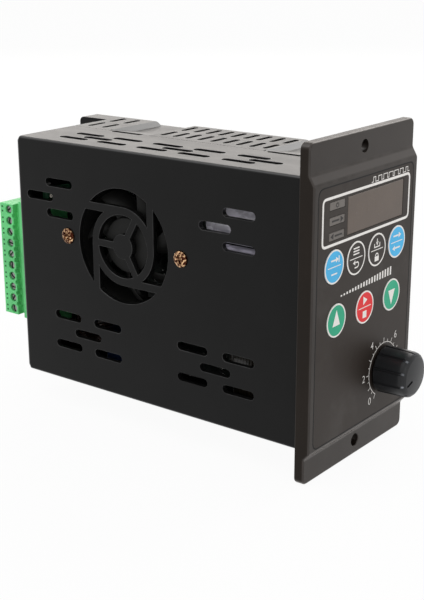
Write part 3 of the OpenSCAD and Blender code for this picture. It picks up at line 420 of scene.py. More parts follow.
def makePiece(name, parts, look, body="root", replaced=(), sharp=40, edge=None):
    points, faces = joined(parts)
    mesh = bpy.data.meshes.new(name)
    mesh.from_pydata((points * mm).tolist(), [], faces)
    if edge is not None:  # how much each point is paled and glossed as an edge; on the knob, a painted highlight
        mesh.attributes.new("edge", "FLOAT", "POINT").data.foreach_set("value", edge.astype(np.float32))
    work = bmesh.new()
    work.from_mesh(mesh)
    bmesh.ops.remove_doubles(work, verts=work.verts, dist=tiny)  # closes seams and poles
    bmesh.ops.dissolve_degenerate(work, edges=work.edges, dist=tiny)
    bmesh.ops.recalc_face_normals(work, faces=work.faces)
    work.to_mesh(mesh)
    work.free()
    return addPiece(name, mesh, look, body, replaced, sharp)


def bodyOf(node):
    return nodes[node]["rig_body"]


rearCorner = {  # ball that rounds off the left half's rear corners, in millimetres
    "radius": 2.5,
    "reach": 3.2,  # how far from the corner the mesh is split
    "step": 0.45,
    "blend": 0.6,  # share of the radius over which the ball takes over
    "slack": 0.01,
}


def cutAcross(work, faces, axis, place):  # splits faces where they cross a plane square to an axis
    geom = {part for face in faces for part in (face, *face.edges, *face.verts)}
    at, along = Vector(), Vector()
    at[axis], along[axis] = place * mm, 1
    bmesh.ops.bisect_plane(work, geom=list(geom), plane_co=at, plane_no=along, dist=tiny)


def ballCorners(work, node):
    # Splits the mesh finely near both rear corners, then draws points that lie outside a ball in to it, by a
    # share that grows with their distance past all three of its middle planes
    low, high = boxOf(node)[:2]
    reach, ball = rearCorner["reach"], rearCorner["radius"]
    for axis, place in ((0, low[0] + reach), (1, high[1] - reach), (2, high[2] - reach), (2, low[2] + reach)):
        cutAcross(work, list(work.faces), axis, place)

    def inside(points):  # how far points lie behind the left, rear and nearer of the top and bottom faces
        x, y, z = points.T
        return np.column_stack([x - low[0], high[1] - y, high[2] - np.abs(z)])

    for axis in range(3):
        for step in np.arange(rearCorner["step"], reach, rearCorner["step"]):
            within = reach + rearCorner["slack"]
            near = [face for face in work.faces
                    if inside(np.array([vert.co for vert in face.verts]) / mm).max() < within]
            for sign in ((-1, 1) if axis == 2 else (1,)):
                place = (low[0] + step, high[1] - step, sign * (high[2] - step))[axis]
                cutAcross(work, [face for face in near if face.is_valid], axis, place)
    points = np.array([vert.co for vert in work.verts]) / mm
    past = np.clip(ball - inside(points), 0, None)
    far = np.linalg.norm(past, axis=1)
    share = np.clip(past.min(1) / ball / rearCorner["blend"], 0, 1)
    share = share * share * (3 - 2 * share) * (far > ball)
    draw = past * (share * (1 - ball / np.maximum(far, ball)))[:, None]
    points += draw * np.column_stack([np.ones(len(points)), -np.ones(len(points)), -np.sign(points[:, 2])])
    for vert, place in zip(work.verts, points * mm):  # a bmesh takes its places one by one
        vert.co = place


def valuesOf(rows, name, kind, wide=1):  # one value, or a few, of every point, corner or face of a mesh
    values = np.zeros(len(rows) * wide, kind)
    rows.foreach_get(name, values)
    return values if wide == 1 else values.reshape(-1, wide)


def separateGroups(edges):  # edges in groups that share no point, each of which is then rounded by itself
    left = dict.fromkeys(edges)
    groups = []
    while left:
        first = next(iter(left))
        del left[first]
        group = [first]
        for edge in group:  # grows while it is read
            for other in (other for vert in edge.verts for other in vert.link_edges):
                if other in left:
                    del left[other]
                    group.append(other)
        groups.append(group)
    return groups


skin = {
    "weld": 3e-6,  # metres within which a copy's points are one
    "flat": 0.3,  # degrees within which its faces are one
    "limit": 36,  # degrees from which an edge is sharp
    "steps": 2,  # strips across a rounded edge
    "rimSteps": 4,
    "slant": 0.2,  # turn away from the axes from which a face is glossy in full
    "forward": 0.4,  # share of that gloss on faces that look forward
    "smooth": 50,  # degrees
}


def roundedCopy(node, width, rims=(), limit=skin["limit"], others=lambda corners: True):
    # A merged copy of a node's mesh: sharp edges that a rim's test picks are rounded over by the rim's own
    # width, then those that the test for the others picks by width; "edge" marks the rounding
    work = bmesh.new()
    work.from_mesh(nodes[node].data)
    bmesh.ops.remove_doubles(work, verts=work.verts, dist=skin["weld"])
    bmesh.ops.dissolve_limit(work, angle_limit=math.radians(skin["flat"]), verts=work.verts, edges=work.edges)
    if node == "left_shell":
        ballCorners(work, node)
    mark = work.faces.layers.float.new("round")
    passes = [(wide, skin["rimSteps"], test) for wide, test in rims] + [(width, skin["steps"], others)]
    for offset, segments, test in passes:
        sharp = [edge for edge in work.edges
                 if edge.is_manifold and edge.calc_face_angle(0) > math.radians(limit)
                 and not any(face[mark] for face in edge.link_faces)
                 and test(np.array([vert.co for vert in edge.verts]) / mm)]
        for group in separateGroups(sharp):
            made = bmesh.ops.bevel(work, geom=[edge for edge in group if edge.is_valid], offset=offset * mm,
                                   segments=segments, profile=0.5, affect="EDGES", clamp_overlap=True)
            for face in made["faces"]:
                face[mark] = 1
    mesh = bpy.data.meshes.new(node + "_skin")
    work.to_mesh(mesh)
    work.free()
    onRound = valuesOf(mesh.attributes["round"].data, "value", np.float32)
    corners = valuesOf(mesh.loops, "vertex_index", np.int32)
    lowest = np.ones(len(mesh.vertices), np.float32)  # 1 only where every face around is rounding
    np.minimum.at(lowest, corners, np.repeat(onRound, valuesOf(mesh.polygons, "loop_total", np.int32)))
    mesh.attributes.remove(mesh.attributes["round"])
    mesh.attributes.new("edge", "FLOAT", "POINT").data.foreach_set("value", lowest)
    normal = valuesOf(mesh.polygons, "normal", np.float32, 3)
    slanted = (1 - np.abs(normal).max(1)) / skin["slant"]
    facing = np.clip(np.maximum(slanted, -skin["forward"] * normal[:, 1]), 0, 1)
    mesh.attributes.new("facing", "FLOAT", "FACE").data.foreach_set("value", facing)
    mesh.materials.clear()
    piece = addPiece(node + "_skin", mesh, slotOf[node], bodyOf(node), (node,), skin["smooth"])
    flat = piece.modifiers.new("flatFaces", "WEIGHTED_NORMAL")  # keeps large faces flat beside the rounding
    flat.keep_sharp = True


# Casing: half shells, front frame, overlay, windows and keys with moulded edges
rounding = {  # width of the edge rounding in millimetres
    "left_shell": 0.2,
    "right_shell": 0.12,
    "front_frame": 0.35,
    "keypad_overlay": 0.2,
    "status_windows": 0.08,
    "terminal_plug": 0.15,
    "terminal_header": 0.22,
    "transformer": 0.6,
    "relay": 0.7,
    "power_module": 0.6,
    "heat_sink": 0.25,
    "fan_frame": 0.3,
    "led_display": 0.3,
    "key_switches": 0.3,
    "board_link": 0.25,
    "pot_nut": 0.25,
}
keys = [node for node in nodes if node.startswith("key_") and node != "key_switches"]
rounding.update(dict.fromkeys(keys, 0.05))
frameRim = {  # wider rounding of the frame's front edges, in millimetres
    "outer": 0.8,
    "lower": 0.6,
    "limit": 20,  # degrees from which an edge of the frame is sharp
    "margin": 2.9,  # the outer edges lie this close to the outline
    "front": -3.5,  # and in front of this depth
    "bezelLow": -51,  # height under which the bezel's lower edge lies
    "bezelDeep": 0.1,  # and how far behind the front at most
    "plateBack": -3.9,  # depth in front of the back of the plate that carries the keys
    "plateHalf": (33.5, 51),  # half its width and height
}
frameLow, frameHigh, frameMid = boxOf("front_frame")


def onFrameRim(corners):  # both ends close to the frame's outline, on its front
    side = np.abs(corners - frameMid) > (frameHigh - frameLow) / 2 - frameRim["margin"]
    return (side[:, 0] | side[:, 2]).all() and (corners[:, 1] < frameRim["front"]).all()


def onLowerEdge(corners):  # the bezel's lower front edge
    forward = corners[:, 1] < frameLow[1] + frameRim["bezelDeep"]
    return (forward & (corners[:, 2] < frameRim["bezelLow"])).all()


def notBehindPanel(corners):  # both ends in front of the plate's back, or one outside the plate
    beside = np.abs(corners[:, [0, 2]]) > frameRim["plateHalf"]
    return (corners[:, 1] < frameRim["plateBack"]).all() or beside.any()


for node, width in rounding.items():
    if node == "front_frame":
        rims = ((frameRim["outer"], onFrameRim), (frameRim["lower"], onLowerEdge))
        roundedCopy(node, width, rims, frameRim["limit"], notBehindPanel)
    else:
        roundedCopy(node, width)
print("rounded pieces made:", len(rounding))


def filleted(corners, radius, closed=True, steps=6):
    # Each corner becomes the curve (1-t)(1-t) a + 2t(1-t) corner + tt b, where a and b lie a radius before
    # and after it
    corners = np.asarray(corners, float)
    before, after = np.roll(corners, 1, 0) - corners, np.roll(corners, -1, 0) - corners
    a = corners + before / np.linalg.norm(before, axis=1)[:, None] * radius
    b = corners + after / np.linalg.norm(after, axis=1)[:, None] * radius
    t = np.linspace(0, 1, steps)[None, :, None]
    curve = (1 - t) ** 2 * a[:, None] + 2 * t * (1 - t) * corners[:, None] + t ** 2 * b[:, None]
    if closed:
        return curve.reshape(-1, 2)
    return np.vstack([corners[:1], curve[1:-1].reshape(-1, 2), corners[-1:]])


def arcPath(radius, start, end, steps, middle=(0, 0)):  # points at a radius from one angle to another
    angle = np.radians(np.linspace(start, end, steps))
    return np.column_stack([np.cos(angle), np.sin(angle)]) * radius + np.array(middle)


def turned(profile, steps=64):  # each radius and height of the profile carried once round the axis
    angle = np.arange(steps) * 2 * np.pi / steps
    radius, height = np.asarray(profile, float).T
    points = np.stack([np.outer(radius, np.cos(angle)), np.outer(radius, np.sin(angle)),
                       np.outer(height, np.ones(steps))], -1)
    return points.reshape(-1, 3), gridFaces(len(radius), steps, wrapCols=True)


def stand(part, base, out, up=(0, 0, 1)):  # a part's own axes laid along right, up and out, then moved
    points, faces = part
    right = np.cross(up, out)
    return points @ np.array([right, up, out], float) + np.array(base), faces


ink = {"height": 0.035, "sink": 0.05}  # how far print stands over its face and reaches into it


def inkStroke(path, width, closed=False, sink=ink["sink"]):
    # A flat bar section carried along a path; at each point its half width is stretched for a mitred corner
    path = np.asarray(path, float)
    step = (np.roll(path, -1, 0) - path)[: None if closed else -1]
    step /= np.linalg.norm(step, axis=1)[:, None]
    ahead = step if closed else np.vstack([step, step[-1:]])
    behind = np.roll(step, 1, 0) if closed else np.vstack([step[:1], step])
    along = ahead + behind
    along /= np.linalg.norm(along, axis=1)[:, None]
    side = np.column_stack([-along[:, 1], along[:, 0]])
    stretch = 1 / np.clip((along * ahead).sum(1), 0.3, 1)
    across = np.array([-1, -1, 1, 1])[None, :, None] * (side * stretch[:, None])[:, None] * width / 2
    height = np.tile([-sink, ink["height"], ink["height"], -sink], (len(path), 1))
    points = np.concatenate([path[:, None] + across, height[:, :, None]], 2).reshape(-1, 3)
    if closed:
        return points, gridFaces(len(path), 4, True, True)
    return points, closedFaces(len(path), 4)


def inkPatch(outline):  # the area inside an outline as a thin plate
    outline = np.asarray(outline, float)
    count = len(outline)
    points = np.vstack([np.column_stack([outline, np.full(count, height)])
                        for height in (-ink["sink"], ink["height"])])
    return points, closedFaces(2, count)


def bar(wide, high, middle=(0, 0)):  # a printed rectangle
    return inkPatch(rectangle(wide, high) + np.array(middle))


def moved(part, shift):  # in its own plane
    return part[0] + np.array([*shift, 0]), part[1]


def numeral(text, size, middle):  # a number in the plain built-in font, with the thickness of print
    curve = bpy.data.curves.new("numeral", "FONT")
    curve.body, curve.size = text, size
    curve.align_x, curve.align_y = "CENTER", "CENTER"
    curve.extrude = (ink["height"] + ink["sink"]) / 2
    curve.offset = -panel["numberThin"]
    holder = bpy.data.objects.new("numeral", curve)
    bpy.context.scene.collection.objects.link(holder)
    mesh = bpy.data.meshes.new_from_object(holder.evaluated_get(bpy.context.evaluated_depsgraph_get()))
    points = valuesOf(mesh.vertices, "co", float, 3) + [*middle, (ink["height"] - ink["sink"]) / 2]
    faces = [list(polygon.vertices) for polygon in mesh.polygons]
    bpy.data.objects.remove(holder)
    bpy.data.curves.remove(curve)
    bpy.data.meshes.remove(mesh)
    return points, faces


# Print on the operator panel
panel = {
    "frameWide": 62.0,  # white line round the display, to the middle of the stroke
    "frameHigh": 17.4,
    "frameStroke": 1.0,
    "frameCorner": 2.0,
    "edgeCorner": 3.6,  # painted shade line round the overlay, in place of the gap
    "edgeStroke": 0.45,
    "arcRadius": 10.75,
    "arcStroke": 0.3,
    "tickLong": 2.0,
    "tickShort": 1.1,
    "tickStroke": 0.28,
    "dialStart": 240,  # degrees where the scale begins, counted from the right
    "dialSweep": 300,
    "ticks": 20,  # steps of the scale, with a long tick at every second one
    "numbers": {0: 230, 2: 182, 4: 128, 6: 52, 8: -2, 10: -50},  # number and its angle
    "numberRadius": 14.8,
    "numberSize": 4.4,
    "numberThin": 0.05,  # taken off each side of a number's strokes
    "rampBars": 19,  # bars of the speed ramp between the key rows
    "rampBar": 1.0,  # width of one
    "rampFrom": -17,
    "rampLong": 36,
    "rampBase": 5.4,
    "rampLow": 0.6,  # height of the first and the last
    "rampHigh": 3.4,
    "waveTeeth": 7,  # teeth of the pulse line over the display
    "waveHigh": 1.8,
    "waveStroke": 0.28,
    "waveFrom": 2.0,
    "waveTo": 30.5,
    "waveLift": 1.0,  # over the white line
    "waveSlim": 0.14,  # half a tooth's width at the ends, as a share of the pitch
    "waveSwell": 0.24,  # added to it in the middle
}
overlayLow, overlayHigh, overlayMid = boxOf("keypad_overlay")
windowMid = boxOf("display_window")[2]
knobLow, knobHigh, knobMid = boxOf("speed_knob")
panelFace = overlayLow[1]


def onPanel(part, depth=None):  # lays a flat part on the overlay, seen from the front
    return stand(part, (0, panelFace if depth is None else depth, 0), (0, -1, 0))


def displayLine():  # a closed line round the display with rounded corners
    corners = rectangle(panel["frameWide"], panel["frameHigh"]) + [0, windowMid[2]]
    return inkStroke(filleted(corners, panel["frameCorner"]), panel["frameStroke"], True)


def overlayOutline():  # a dark stroke, the painted shade of the gap between the overlay and the bezel
    corners = rectangle(*(overlayHigh - overlayLow)[[0, 2]]) + overlayMid[[0, 2]]
    return inkStroke(filleted(corners, panel["edgeCorner"]), panel["edgeStroke"], True)


def dialMarks():  # an arc with ticks that point outwards, and plain numbers round it
    start, end = panel["dialStart"], panel["dialStart"] - panel["dialSweep"]
    centre = knobMid[[0, 2]]
    marks = [inkStroke(arcPath(panel["arcRadius"], start, end, 121, centre), panel["arcStroke"])]
    for place in range(panel["ticks"] + 1):
        angle = start - place * panel["dialSweep"] / panel["ticks"]
        reach = panel["arcRadius"] + (panel["tickShort"] if place % 2 else panel["tickLong"])
        inner, outer = (arcPath(r, angle, angle, 1, centre)[0] for r in (panel["arcRadius"], reach))
        marks.append(inkStroke([inner, outer], panel["tickStroke"]))
    for number, angle in panel["numbers"].items():
        marks.append(numeral(str(number), panel["numberSize"],
                             arcPath(panel["numberRadius"], angle, angle, 1, centre)[0]))
    return marks


def speedRamp():  # slim bars whose height grows from left to right
    place = panel["rampFrom"] + np.linspace(0, panel["rampLong"], panel["rampBars"])
    height = np.linspace(panel["rampLow"], panel["rampHigh"], panel["rampBars"])
    return [bar(panel["rampBar"], tall, (x, panel["rampBase"] + tall / 2)) for x, tall in zip(place, height)]


def pulseLine():  # a square wave whose teeth grow wide and slim again, drawn as one thin stroke
    teeth = panel["waveTeeth"]
    pitch = (panel["waveTo"] - panel["waveFrom"]) / teeth
    middle = panel["waveFrom"] + pitch * (np.arange(teeth) + 0.5)
    swell = np.sin(np.pi * (np.arange(teeth) + 0.5) / teeth)
    half = pitch * (panel["waveSlim"] + panel["waveSwell"] * swell)
    x = np.column_stack([middle - half, middle - half, middle + half, middle + half]).ravel()
    x = np.concatenate([[panel["waveFrom"]], x, [panel["waveTo"]]])
    y = np.concatenate([[0], np.tile([0, 1, 1, 0], teeth), [0]]) * panel["waveHigh"]
    base = windowMid[2] + panel["frameHigh"] / 2 + panel["waveLift"]
    return inkStroke(np.column_stack([x, y + base]), panel["waveStroke"])


panelParts = [displayLine(), pulseLine(), *speedRamp(), *dialMarks()]
makePiece("panel_print", [onPanel(part) for part in panelParts], "whiteInk")
# a dark stroke round the overlay: painted shade of the gap
makePiece("panel_gap_painted_shade", [onPanel(overlayOutline())], "paintedGapShade")


# Display window: a plate behind the overlay with a raised pane that fills the opening
lens = {
    "lip": 1.2,  # how far the plate reaches behind the overlay
    "gap": 0.1,  # round the pane
    "under": 0.06,  # depth of the pane's face under the overlay's
    "edge": 0.12,  # slant at the pane's edge
}
windowLow, windowHigh = boxOf("display_window")[:2]


def windowSurface():  # a rectangle carried forwards: the plate, the step in to the pane, and its slanted edge
    plate = (windowHigh - windowLow)[[0, 2]]
    pane = plate - 2 * (lens["lip"] + lens["gap"])
    back, front, face = panelFace - windowHigh[1], panelFace - windowLow[1], -lens["under"]
    rows = [(plate, back), (plate, front), (pane, front), (pane, face - lens["edge"]),
            (pane - 2 * lens["edge"], face)]
    points = np.vstack([np.column_stack([rectangle(*size), np.full(4, deep)]) for size, deep in rows])
    return points, closedFaces(len(rows), 4)


makePiece("display_window_skin", [onPanel(moved(windowSurface(), windowMid[[0, 2]]))], "window_smoke",
          replaced=("display_window",), sharp=30)


# Small signs, each about the origin
def triangle(size, angle, middle=(0, 0)):  # three points at a third of a turn, the first at the angle
    return inkPatch(arcPath(size, angle, angle + 240, 3, middle))


def wedge(wide, high, way):  # a slim triangle that points up or down
    return inkPatch(np.array([[-wide / 2, -high / 3], [wide / 2, -high / 3], [0, high * 2 / 3]]) * [1, way])


def arrow(length, way, middle=(0, 0), head=0.95):  # a bar and a head that point right or left
    tip = np.array(middle) + [way * length / 2, 0]
    return [bar(length * 0.7, head * 0.5, np.array(middle) - [way * length * 0.15, 0]),
            triangle(head, 0 if way > 0 else 180, tip - [way * 0.6, 0])]


def padlock(middle):  # a block under a half ring
    body = bar(2.3, 1.5, np.array(middle) - [0, 0.5])
    return [body, inkStroke(arcPath(0.75, 0, 180, 13, np.array(middle) + [0, 0.35]), 0.36)]


def tray(middle):  # an arrow down into an open tray
    x, y = middle
    return [inkStroke([[x - 1.5, y + 0.1], [x - 1.5, y - 1], [x + 1.5, y - 1], [x + 1.5, y + 0.1]], 0.36),
            bar(0.42, 1.2, (x, y + 0.8)), triangle(0.8, -90, (x, y + 0.1))]


def listLines(middle):  # three short lines
    return [bar(3.2, 0.4, np.array(middle) + [0, 0.85 * step]) for step in (-1, 0, 1)]


def backArrow(middle):  # an arrow that turns back to the left
    x, y = middle
    bend = arcPath(0.75, -90, 90, 11, (x + 0.6, y + 0.05))
    line = np.vstack([[x - 0.7, y - 0.7], bend, [x - 0.7, y + 0.8]])
    return [inkStroke(line, 0.38), triangle(0.85, 180, (x - 0.9, y + 0.8))]


def powerSign(middle, size):  # an open ring with a bar in its gap
    x, y = middle
    return [inkStroke(arcPath(size, 125, 415, 25, middle), 0.34), bar(0.34, size, (x, y + size * 0.75))]


keySign = {  # what each key shows over and under its divider
    "key_blue_left": arrow(3.6, 1, (0, 1.9)) + [bar(0.4, 1.9, (2.3, 1.9))] + [bar(3, 0.42, (0, -2.1))],
    "key_black_left": listLines((0, 2.1)) + backArrow((0, -2.1)),
    "key_black_right": tray((0, 1.9)) + padlock((0, -2.2)),
    "key_blue_right": arrow(4.2, 1, (0, 1.9)) + arrow(4.2, -1, (0, -1.9)),
    "key_red": [triangle(1.5, 0, (-0.2, 2.1)), bar(2.1, 2.1, (0, -2.2))],
    "key_green_up": [wedge(3.9, 4.7, 1)],
    "key_green_down": [wedge(3.9, 4.7, -1)],
}
keyPrint = {
    "ring": 0.62,
    "over": 0.04,  # how far the ring reaches past the key's edge
    "deep": 0.2,  # and down its side
    "divider": 0.32,
    "dividerLength": 8.8,
    "signSize": 1.3,
}
for key, signs in keySign.items():
    low, high, mid = boxOf(key)
    radius = (high[0] - low[0]) / 2 + keyPrint["over"] - keyPrint["ring"] / 2
    grow = np.array([keyPrint["signSize"], keyPrint["signSize"], 1])
    parts = [inkStroke(arcPath(radius, 0, 360, 73)[:-1], keyPrint["ring"], True, keyPrint["deep"])]
    parts += [(points * grow, faces) for points, faces in signs]
    if "green" not in key:
        parts.append(bar(keyPrint["dividerLength"], keyPrint["divider"]))
    parts = [onPanel(moved(part, mid[[0, 2]]), low[1]) for part in parts]
    makePiece(key + "_print", parts, "whiteInk", bodyOf(key))

statusPrint = {"inset": 1.45, "power": 0.8, "arrow": 7.0, "head": 1.3}  # inset of the first and last row
statusLow, statusHigh, statusMid = boxOf("status_windows")
rows = np.linspace(statusHigh[2] - statusPrint["inset"], statusLow[2] + statusPrint["inset"], 3)
statusSigns = powerSign((statusMid[0], rows[0]), statusPrint["power"])
for way, row in zip((1, -1), rows[1:]):
    statusSigns += arrow(statusPrint["arrow"], way, (statusMid[0], row), statusPrint["head"])
makePiece("status_print", [onPanel(part, statusLow[1]) for part in statusSigns], "darkInk")
print("panel print made")


# Speed knob
knob = {
    "taper": 0.3,  # how much slimmer the front is
    "dome": 0.7,  # rise of the cap over the rim
    "cap": 7.5,  # radius of the cap
    "capEdge": 0.1,  # step at the cap's edge
    "capInset": 0.12,  # how far inside the cap's edge the dome begins
    "grooves": 10,
    "grooveTurn": 18,  # degrees
    "grooveHalf": 0.62,  # half width of a groove in millimetres
    "grooveDepth": 0.6,
    "grooveEnd": 0.35,  # how far behind the cap's edge the grooves end
    "grooveFade": 0.5,
    "pointer": 205,  # degrees, as it stands at rest
    "pointerFrom": 3.2,
    "pointerTo": 6.9,
    "pointerHalf": 0.52,
    "pointerDepth": 0.6,
    "pointerWall": 0.1,  # slant of the slot's sides
    "pointerEnd": 0.12,  # and of its ends
    "highlightDeep": 1.1,  # how far behind the cap's edge the band of painted highlight lies
    "highlightHalf": 0.8,
    "highlightFade": 0.5,
    "well": 7.0,  # radius of the hollow at the back
}


def knobSurface(steps=540):
    # Radius and height follow a tapered skirt, a rim in three facets and a flat dome; the radius loses a
    # half-round groove ten times round, fading out on the rim, and the dome sinks inside the pointer's slot;
    # also gives a painted highlight for each point, which is brightest where a groove ends on the rim
    total = knobHigh[1] - knobLow[1]
    length, cap = total - knob["dome"], knob["cap"]
    base = max((knobHigh - knobLow)[[0, 2]]) / 2
    top = base - knob["taper"]
    rise = knob["dome"] - knob["capEdge"]
    ball = (cap ** 2 + rise ** 2) / (2 * rise)
    lean = np.linspace(math.asin((cap - knob["capInset"]) / ball), 0, 40)
    dome = np.column_stack([ball * np.sin(lean), total - ball + ball * np.cos(lean)])
    well = knob["well"]
    skirt = [[well, 2.6], [well, 0.15], [well + 0.15, 0], [base - 0.25, 0], [base, 0.25],
             [top + 0.01, length - 2.45], [top - 0.03, length - 2.2], [top - 0.27, length - 1.2],
             [top - 0.36, length - 1.0], [top - 0.93, length - 0.4], [top - 1.07, length - 0.3],
             [cap + 0.05, length - 0.01], [cap, length], [cap - 0.04, length + 0.07]]
    grooveFrom, grooveTo = 3, 11  # points of the skirt between which the grooves run
    outline = np.vstack([skirt, dome])
    count = [2, 2, 6, 2, 12, 2, 4, 2, 4, 2, 3, 2, 2, 2] + [2] * (len(dome) - 1)  # rows along each stretch
    share = np.concatenate([np.arange(n) / n + i for i, n in enumerate(count)] + [[len(count)]])
    radius, height = (np.interp(share, np.arange(len(outline)), outline[:, k])[:, None] for k in (0, 1))
    angle = (np.arange(steps) * 2 * np.pi / steps)[None, :]
    pitch = 2 * np.pi / knob["grooves"]
    share = share[:, None]
    aside = (angle - math.radians(knob["grooveTurn"]) + pitch / 2) % pitch - pitch / 2
    bite = knob["grooveDepth"] * np.sqrt(np.clip(1 - (aside * base / knob["grooveHalf"]) ** 2, 0, 1))
    fade = np.clip((length - knob["grooveEnd"] - height) / knob["grooveFade"], 0, 1)
    fade = fade * np.clip((share - grooveFrom) / knob["grooveFade"], 0, 1) * (share < grooveTo)
    radius = radius - bite * fade
    x, y = radius * np.cos(angle), radius * np.sin(angle)
    toward = math.radians(knob["pointer"])
    along = x * math.cos(toward) + y * math.sin(toward)
    across = -x * math.sin(toward) + y * math.cos(toward)
    side = np.clip((knob["pointerHalf"] - np.abs(across)) / knob["pointerWall"], 0, 1)
    ends = np.minimum(along - knob["pointerFrom"], knob["pointerTo"] - along)
    ends = np.clip(ends / knob["pointerEnd"], 0, 1)
    z = height - knob["pointerDepth"] * side * ends * (share > len(skirt) - 1)
    points = np.stack([x, y, z], -1).reshape(-1, 3)
    # painted highlight: paler where a groove ends on the rim
    band = knob["highlightHalf"] - np.abs(height - length + knob["highlightDeep"])
    wearAndHighlight = np.clip(band / knob["highlightFade"], 0, 1) * (bite / knob["grooveDepth"])
    return (points, gridFaces(len(share), steps, wrapCols=True)), wearAndHighlight.ravel()


knobPart, knobHighlight = knobSurface()
makePiece("speed_knob_skin", [stand(knobPart, (knobMid[0], knobHigh[1], knobMid[2]), (0, -1, 0))],
          "knob_black", bodyOf("speed_knob"), replaced=("speed_knob",), sharp=30, edge=knobHighlight)
print("knob made")


# Screw heads
screwForm = {
    "flat": 0.86,  # share of the radius that is finely divided
    "rings": 26,
    "fall": 0.42,  # drop of the dome at the rim, as a share of the head's height
    "curve": 2.6,  # power by which it falls
    "rim": 0.2,  # height of the rim's lower edge, as a share of the head's height
    "chamfer": 0.1,
    "tip": 0.3,  # slant at the shank's end
}


def screwSurface(head, high, shank, long, recess, steps=96):
    # A domed head, its rim, underside and shank turned round the axis; the top sinks inside the recess,
    # which is a function of the place across the head
    rim, core = head / 2, shank / 2
    tip = screwForm["tip"]
    share = np.concatenate([np.linspace(0, screwForm["flat"], screwForm["rings"]), [0.92, 0.97, 1.0]])
    ring = share * rim
    dome = high - screwForm["fall"] * high * share ** screwForm["curve"]
    outer = np.array([[rim, high * screwForm["rim"]], [rim - screwForm["chamfer"], 0], [core, 0],
                      [core, tip - long], [core - tip, -long], [0, -long]])
    radius = np.concatenate([ring, outer[:, 0]])[:, None]
    height = np.concatenate([dome, outer[:, 1]])[:, None]
    angle = (np.arange(steps) * 2 * np.pi / steps)[None, :]
    x, y = radius * np.cos(angle), radius * np.sin(angle)
    top = (np.arange(len(radius)) < len(ring) - 1)[:, None]
    z = height - np.where(top, recess(x, y), 0)
    return np.stack([x, y, z + 0 * x], -1).reshape(-1, 3), gridFaces(len(radius), steps, wrapCols=True)


def crossRecess(reach, half, depth, wall, end, rise):  # two crossed slots, shallower towards their ends
    def arm(along, across):
        return np.clip((half - np.abs(across)) / wall, 0, 1) * np.clip((reach - np.abs(along)) / end, 0, 1)

    def sink(x, y):
        return depth * np.maximum(arm(x, y), arm(y, x)) * (1 - rise * np.hypot(x, y) / reach)
    return sink


def slotRecess(half, depth, wall, angle):  # one straight slot right across, turned by an angle in degrees
    def sink(x, y):
        across = y * math.cos(math.radians(angle)) - x * math.sin(math.radians(angle))
        return depth * np.clip((half - np.abs(across)) / wall, 0, 1)
    return sink


def leaned(angle):  # the direction that is up on a screw whose cross is turned by an angle in radians
    return 0, math.sin(angle), math.cos(angle)


crossSlot = {
    "reach": 1.95,
    "half": 0.46,
    "depth": 1.0,
    "wall": 0.1,  # slant of the sides
    "end": 0.3,  # and of the ends
    "rise": 0.35,  # share of the depth that is lost at the ends
}
cross = crossRecess(**crossSlot)

fanScrew = {"head": 6.4, "high": 1.8, "shank": 2.5, "long": 4.6}
fanLean = (0.3, 0.75)  # how far the two crosses are turned, in radians
low, high, mid = boxOf("fan_screws")
half = fanScrew["head"] / 2
shape = screwSurface(**fanScrew, recess=cross)
makePiece("fan_screws_skin",
          [stand(shape, (low[0] + fanScrew["high"], y, mid[2]), (-1, 0, 0), leaned(lean))
           for y, lean in zip((low[1] + half, high[1] - half), fanLean)],
          "screw_copper", replaced=("fan_screws",), sharp=35)

sinkScrew = {"head": 5.6, "high": 1.8, "shank": 2.9, "long": 10.8}
low, high = boxOf("heat_sink_screws")[:2]
half = sinkScrew["head"] / 2
shape = screwSurface(**sinkScrew, recess=cross)
makePiece("heat_sink_screws_skin",
          [stand(shape, (high[0] - sinkScrew["high"], y, z), (1, 0, 0), leaned(y + z))
           for y in (low[1] + half, high[1] - half) for z in (low[2] + half, high[2] - half)],
          "steel", replaced=("heat_sink_screws",), sharp=35)

terminalScrew = {
    "grow": 0.24,  # how much wider than the node the head is
    "high": 1.2,
    "shank": 2.9,
    "under": 0.4,  # depth of the head's underside behind the node's face
    "slotHalf": 0.45,
    "slotDepth": 0.9,
    "slotWall": 0.08,
    "slotStart": 35,  # degrees
    "slotTurn": 47,  # from one screw to the next
}
terminalWays = range(1, 11)
for way in terminalWays:
    node = f"terminal_screw_{way}"
    low, high, mid = boxOf(node)
    angle = -terminalScrew["slotStart"] - terminalScrew["slotTurn"] * way
    slot = slotRecess(terminalScrew["slotHalf"], terminalScrew["slotDepth"], terminalScrew["slotWall"], angle)
    under = terminalScrew["under"]
    head, long = high[2] - low[2] + terminalScrew["grow"], high[0] - low[0] - under
    shape = screwSurface(head, terminalScrew["high"], terminalScrew["shank"], long, slot, 72)
    makePiece(node + "_skin", [stand(shape, (low[0] + under, mid[1], mid[2]), (-1, 0, 0))], "terminalSteel",
              bodyOf(node), replaced=(node,), sharp=35)
print("screws made")


# Fan rotor
rotor = {
    "blades": 7,
    "chord": 11.0,  # along a blade's section
    "rootTilt": 50,  # degrees from the plane of the disc
    "tipTilt": 36,
    "sweep": 0.35,  # radians that the tip leads the root
    "sweepCurve": 1.5,  # power by which the lead grows
    "thick": 1.1,
    "blunt": 0.02,  # keeps the section's ends from being sharp
    "camber": 0.9,
    "taper": 0.14,  # how much shorter the section is at root and tip, as a share
    "tipGap": 0.3,
    "rootDeep": 0.5,  # how far a blade reaches into the hub
    "room": 1.2,  # in front of the blades and behind them
    "rows": 14,
    "points": 17,  # along each face of the section
    "bladeMid": 4.3,  # how far the blades' middle lies behind the front
    "hubWide": 23.0,
    "hubDeep": 8.6,
    "hubWall": 1.5,
    "hubRound": 0.6,
    "shaftRadius": 1.0,
    "shaftLong": 9.8,
    "shaftSlant": 0.2,
}
rotorLow, rotorHigh = boxOf("fan_rotor")[:2]


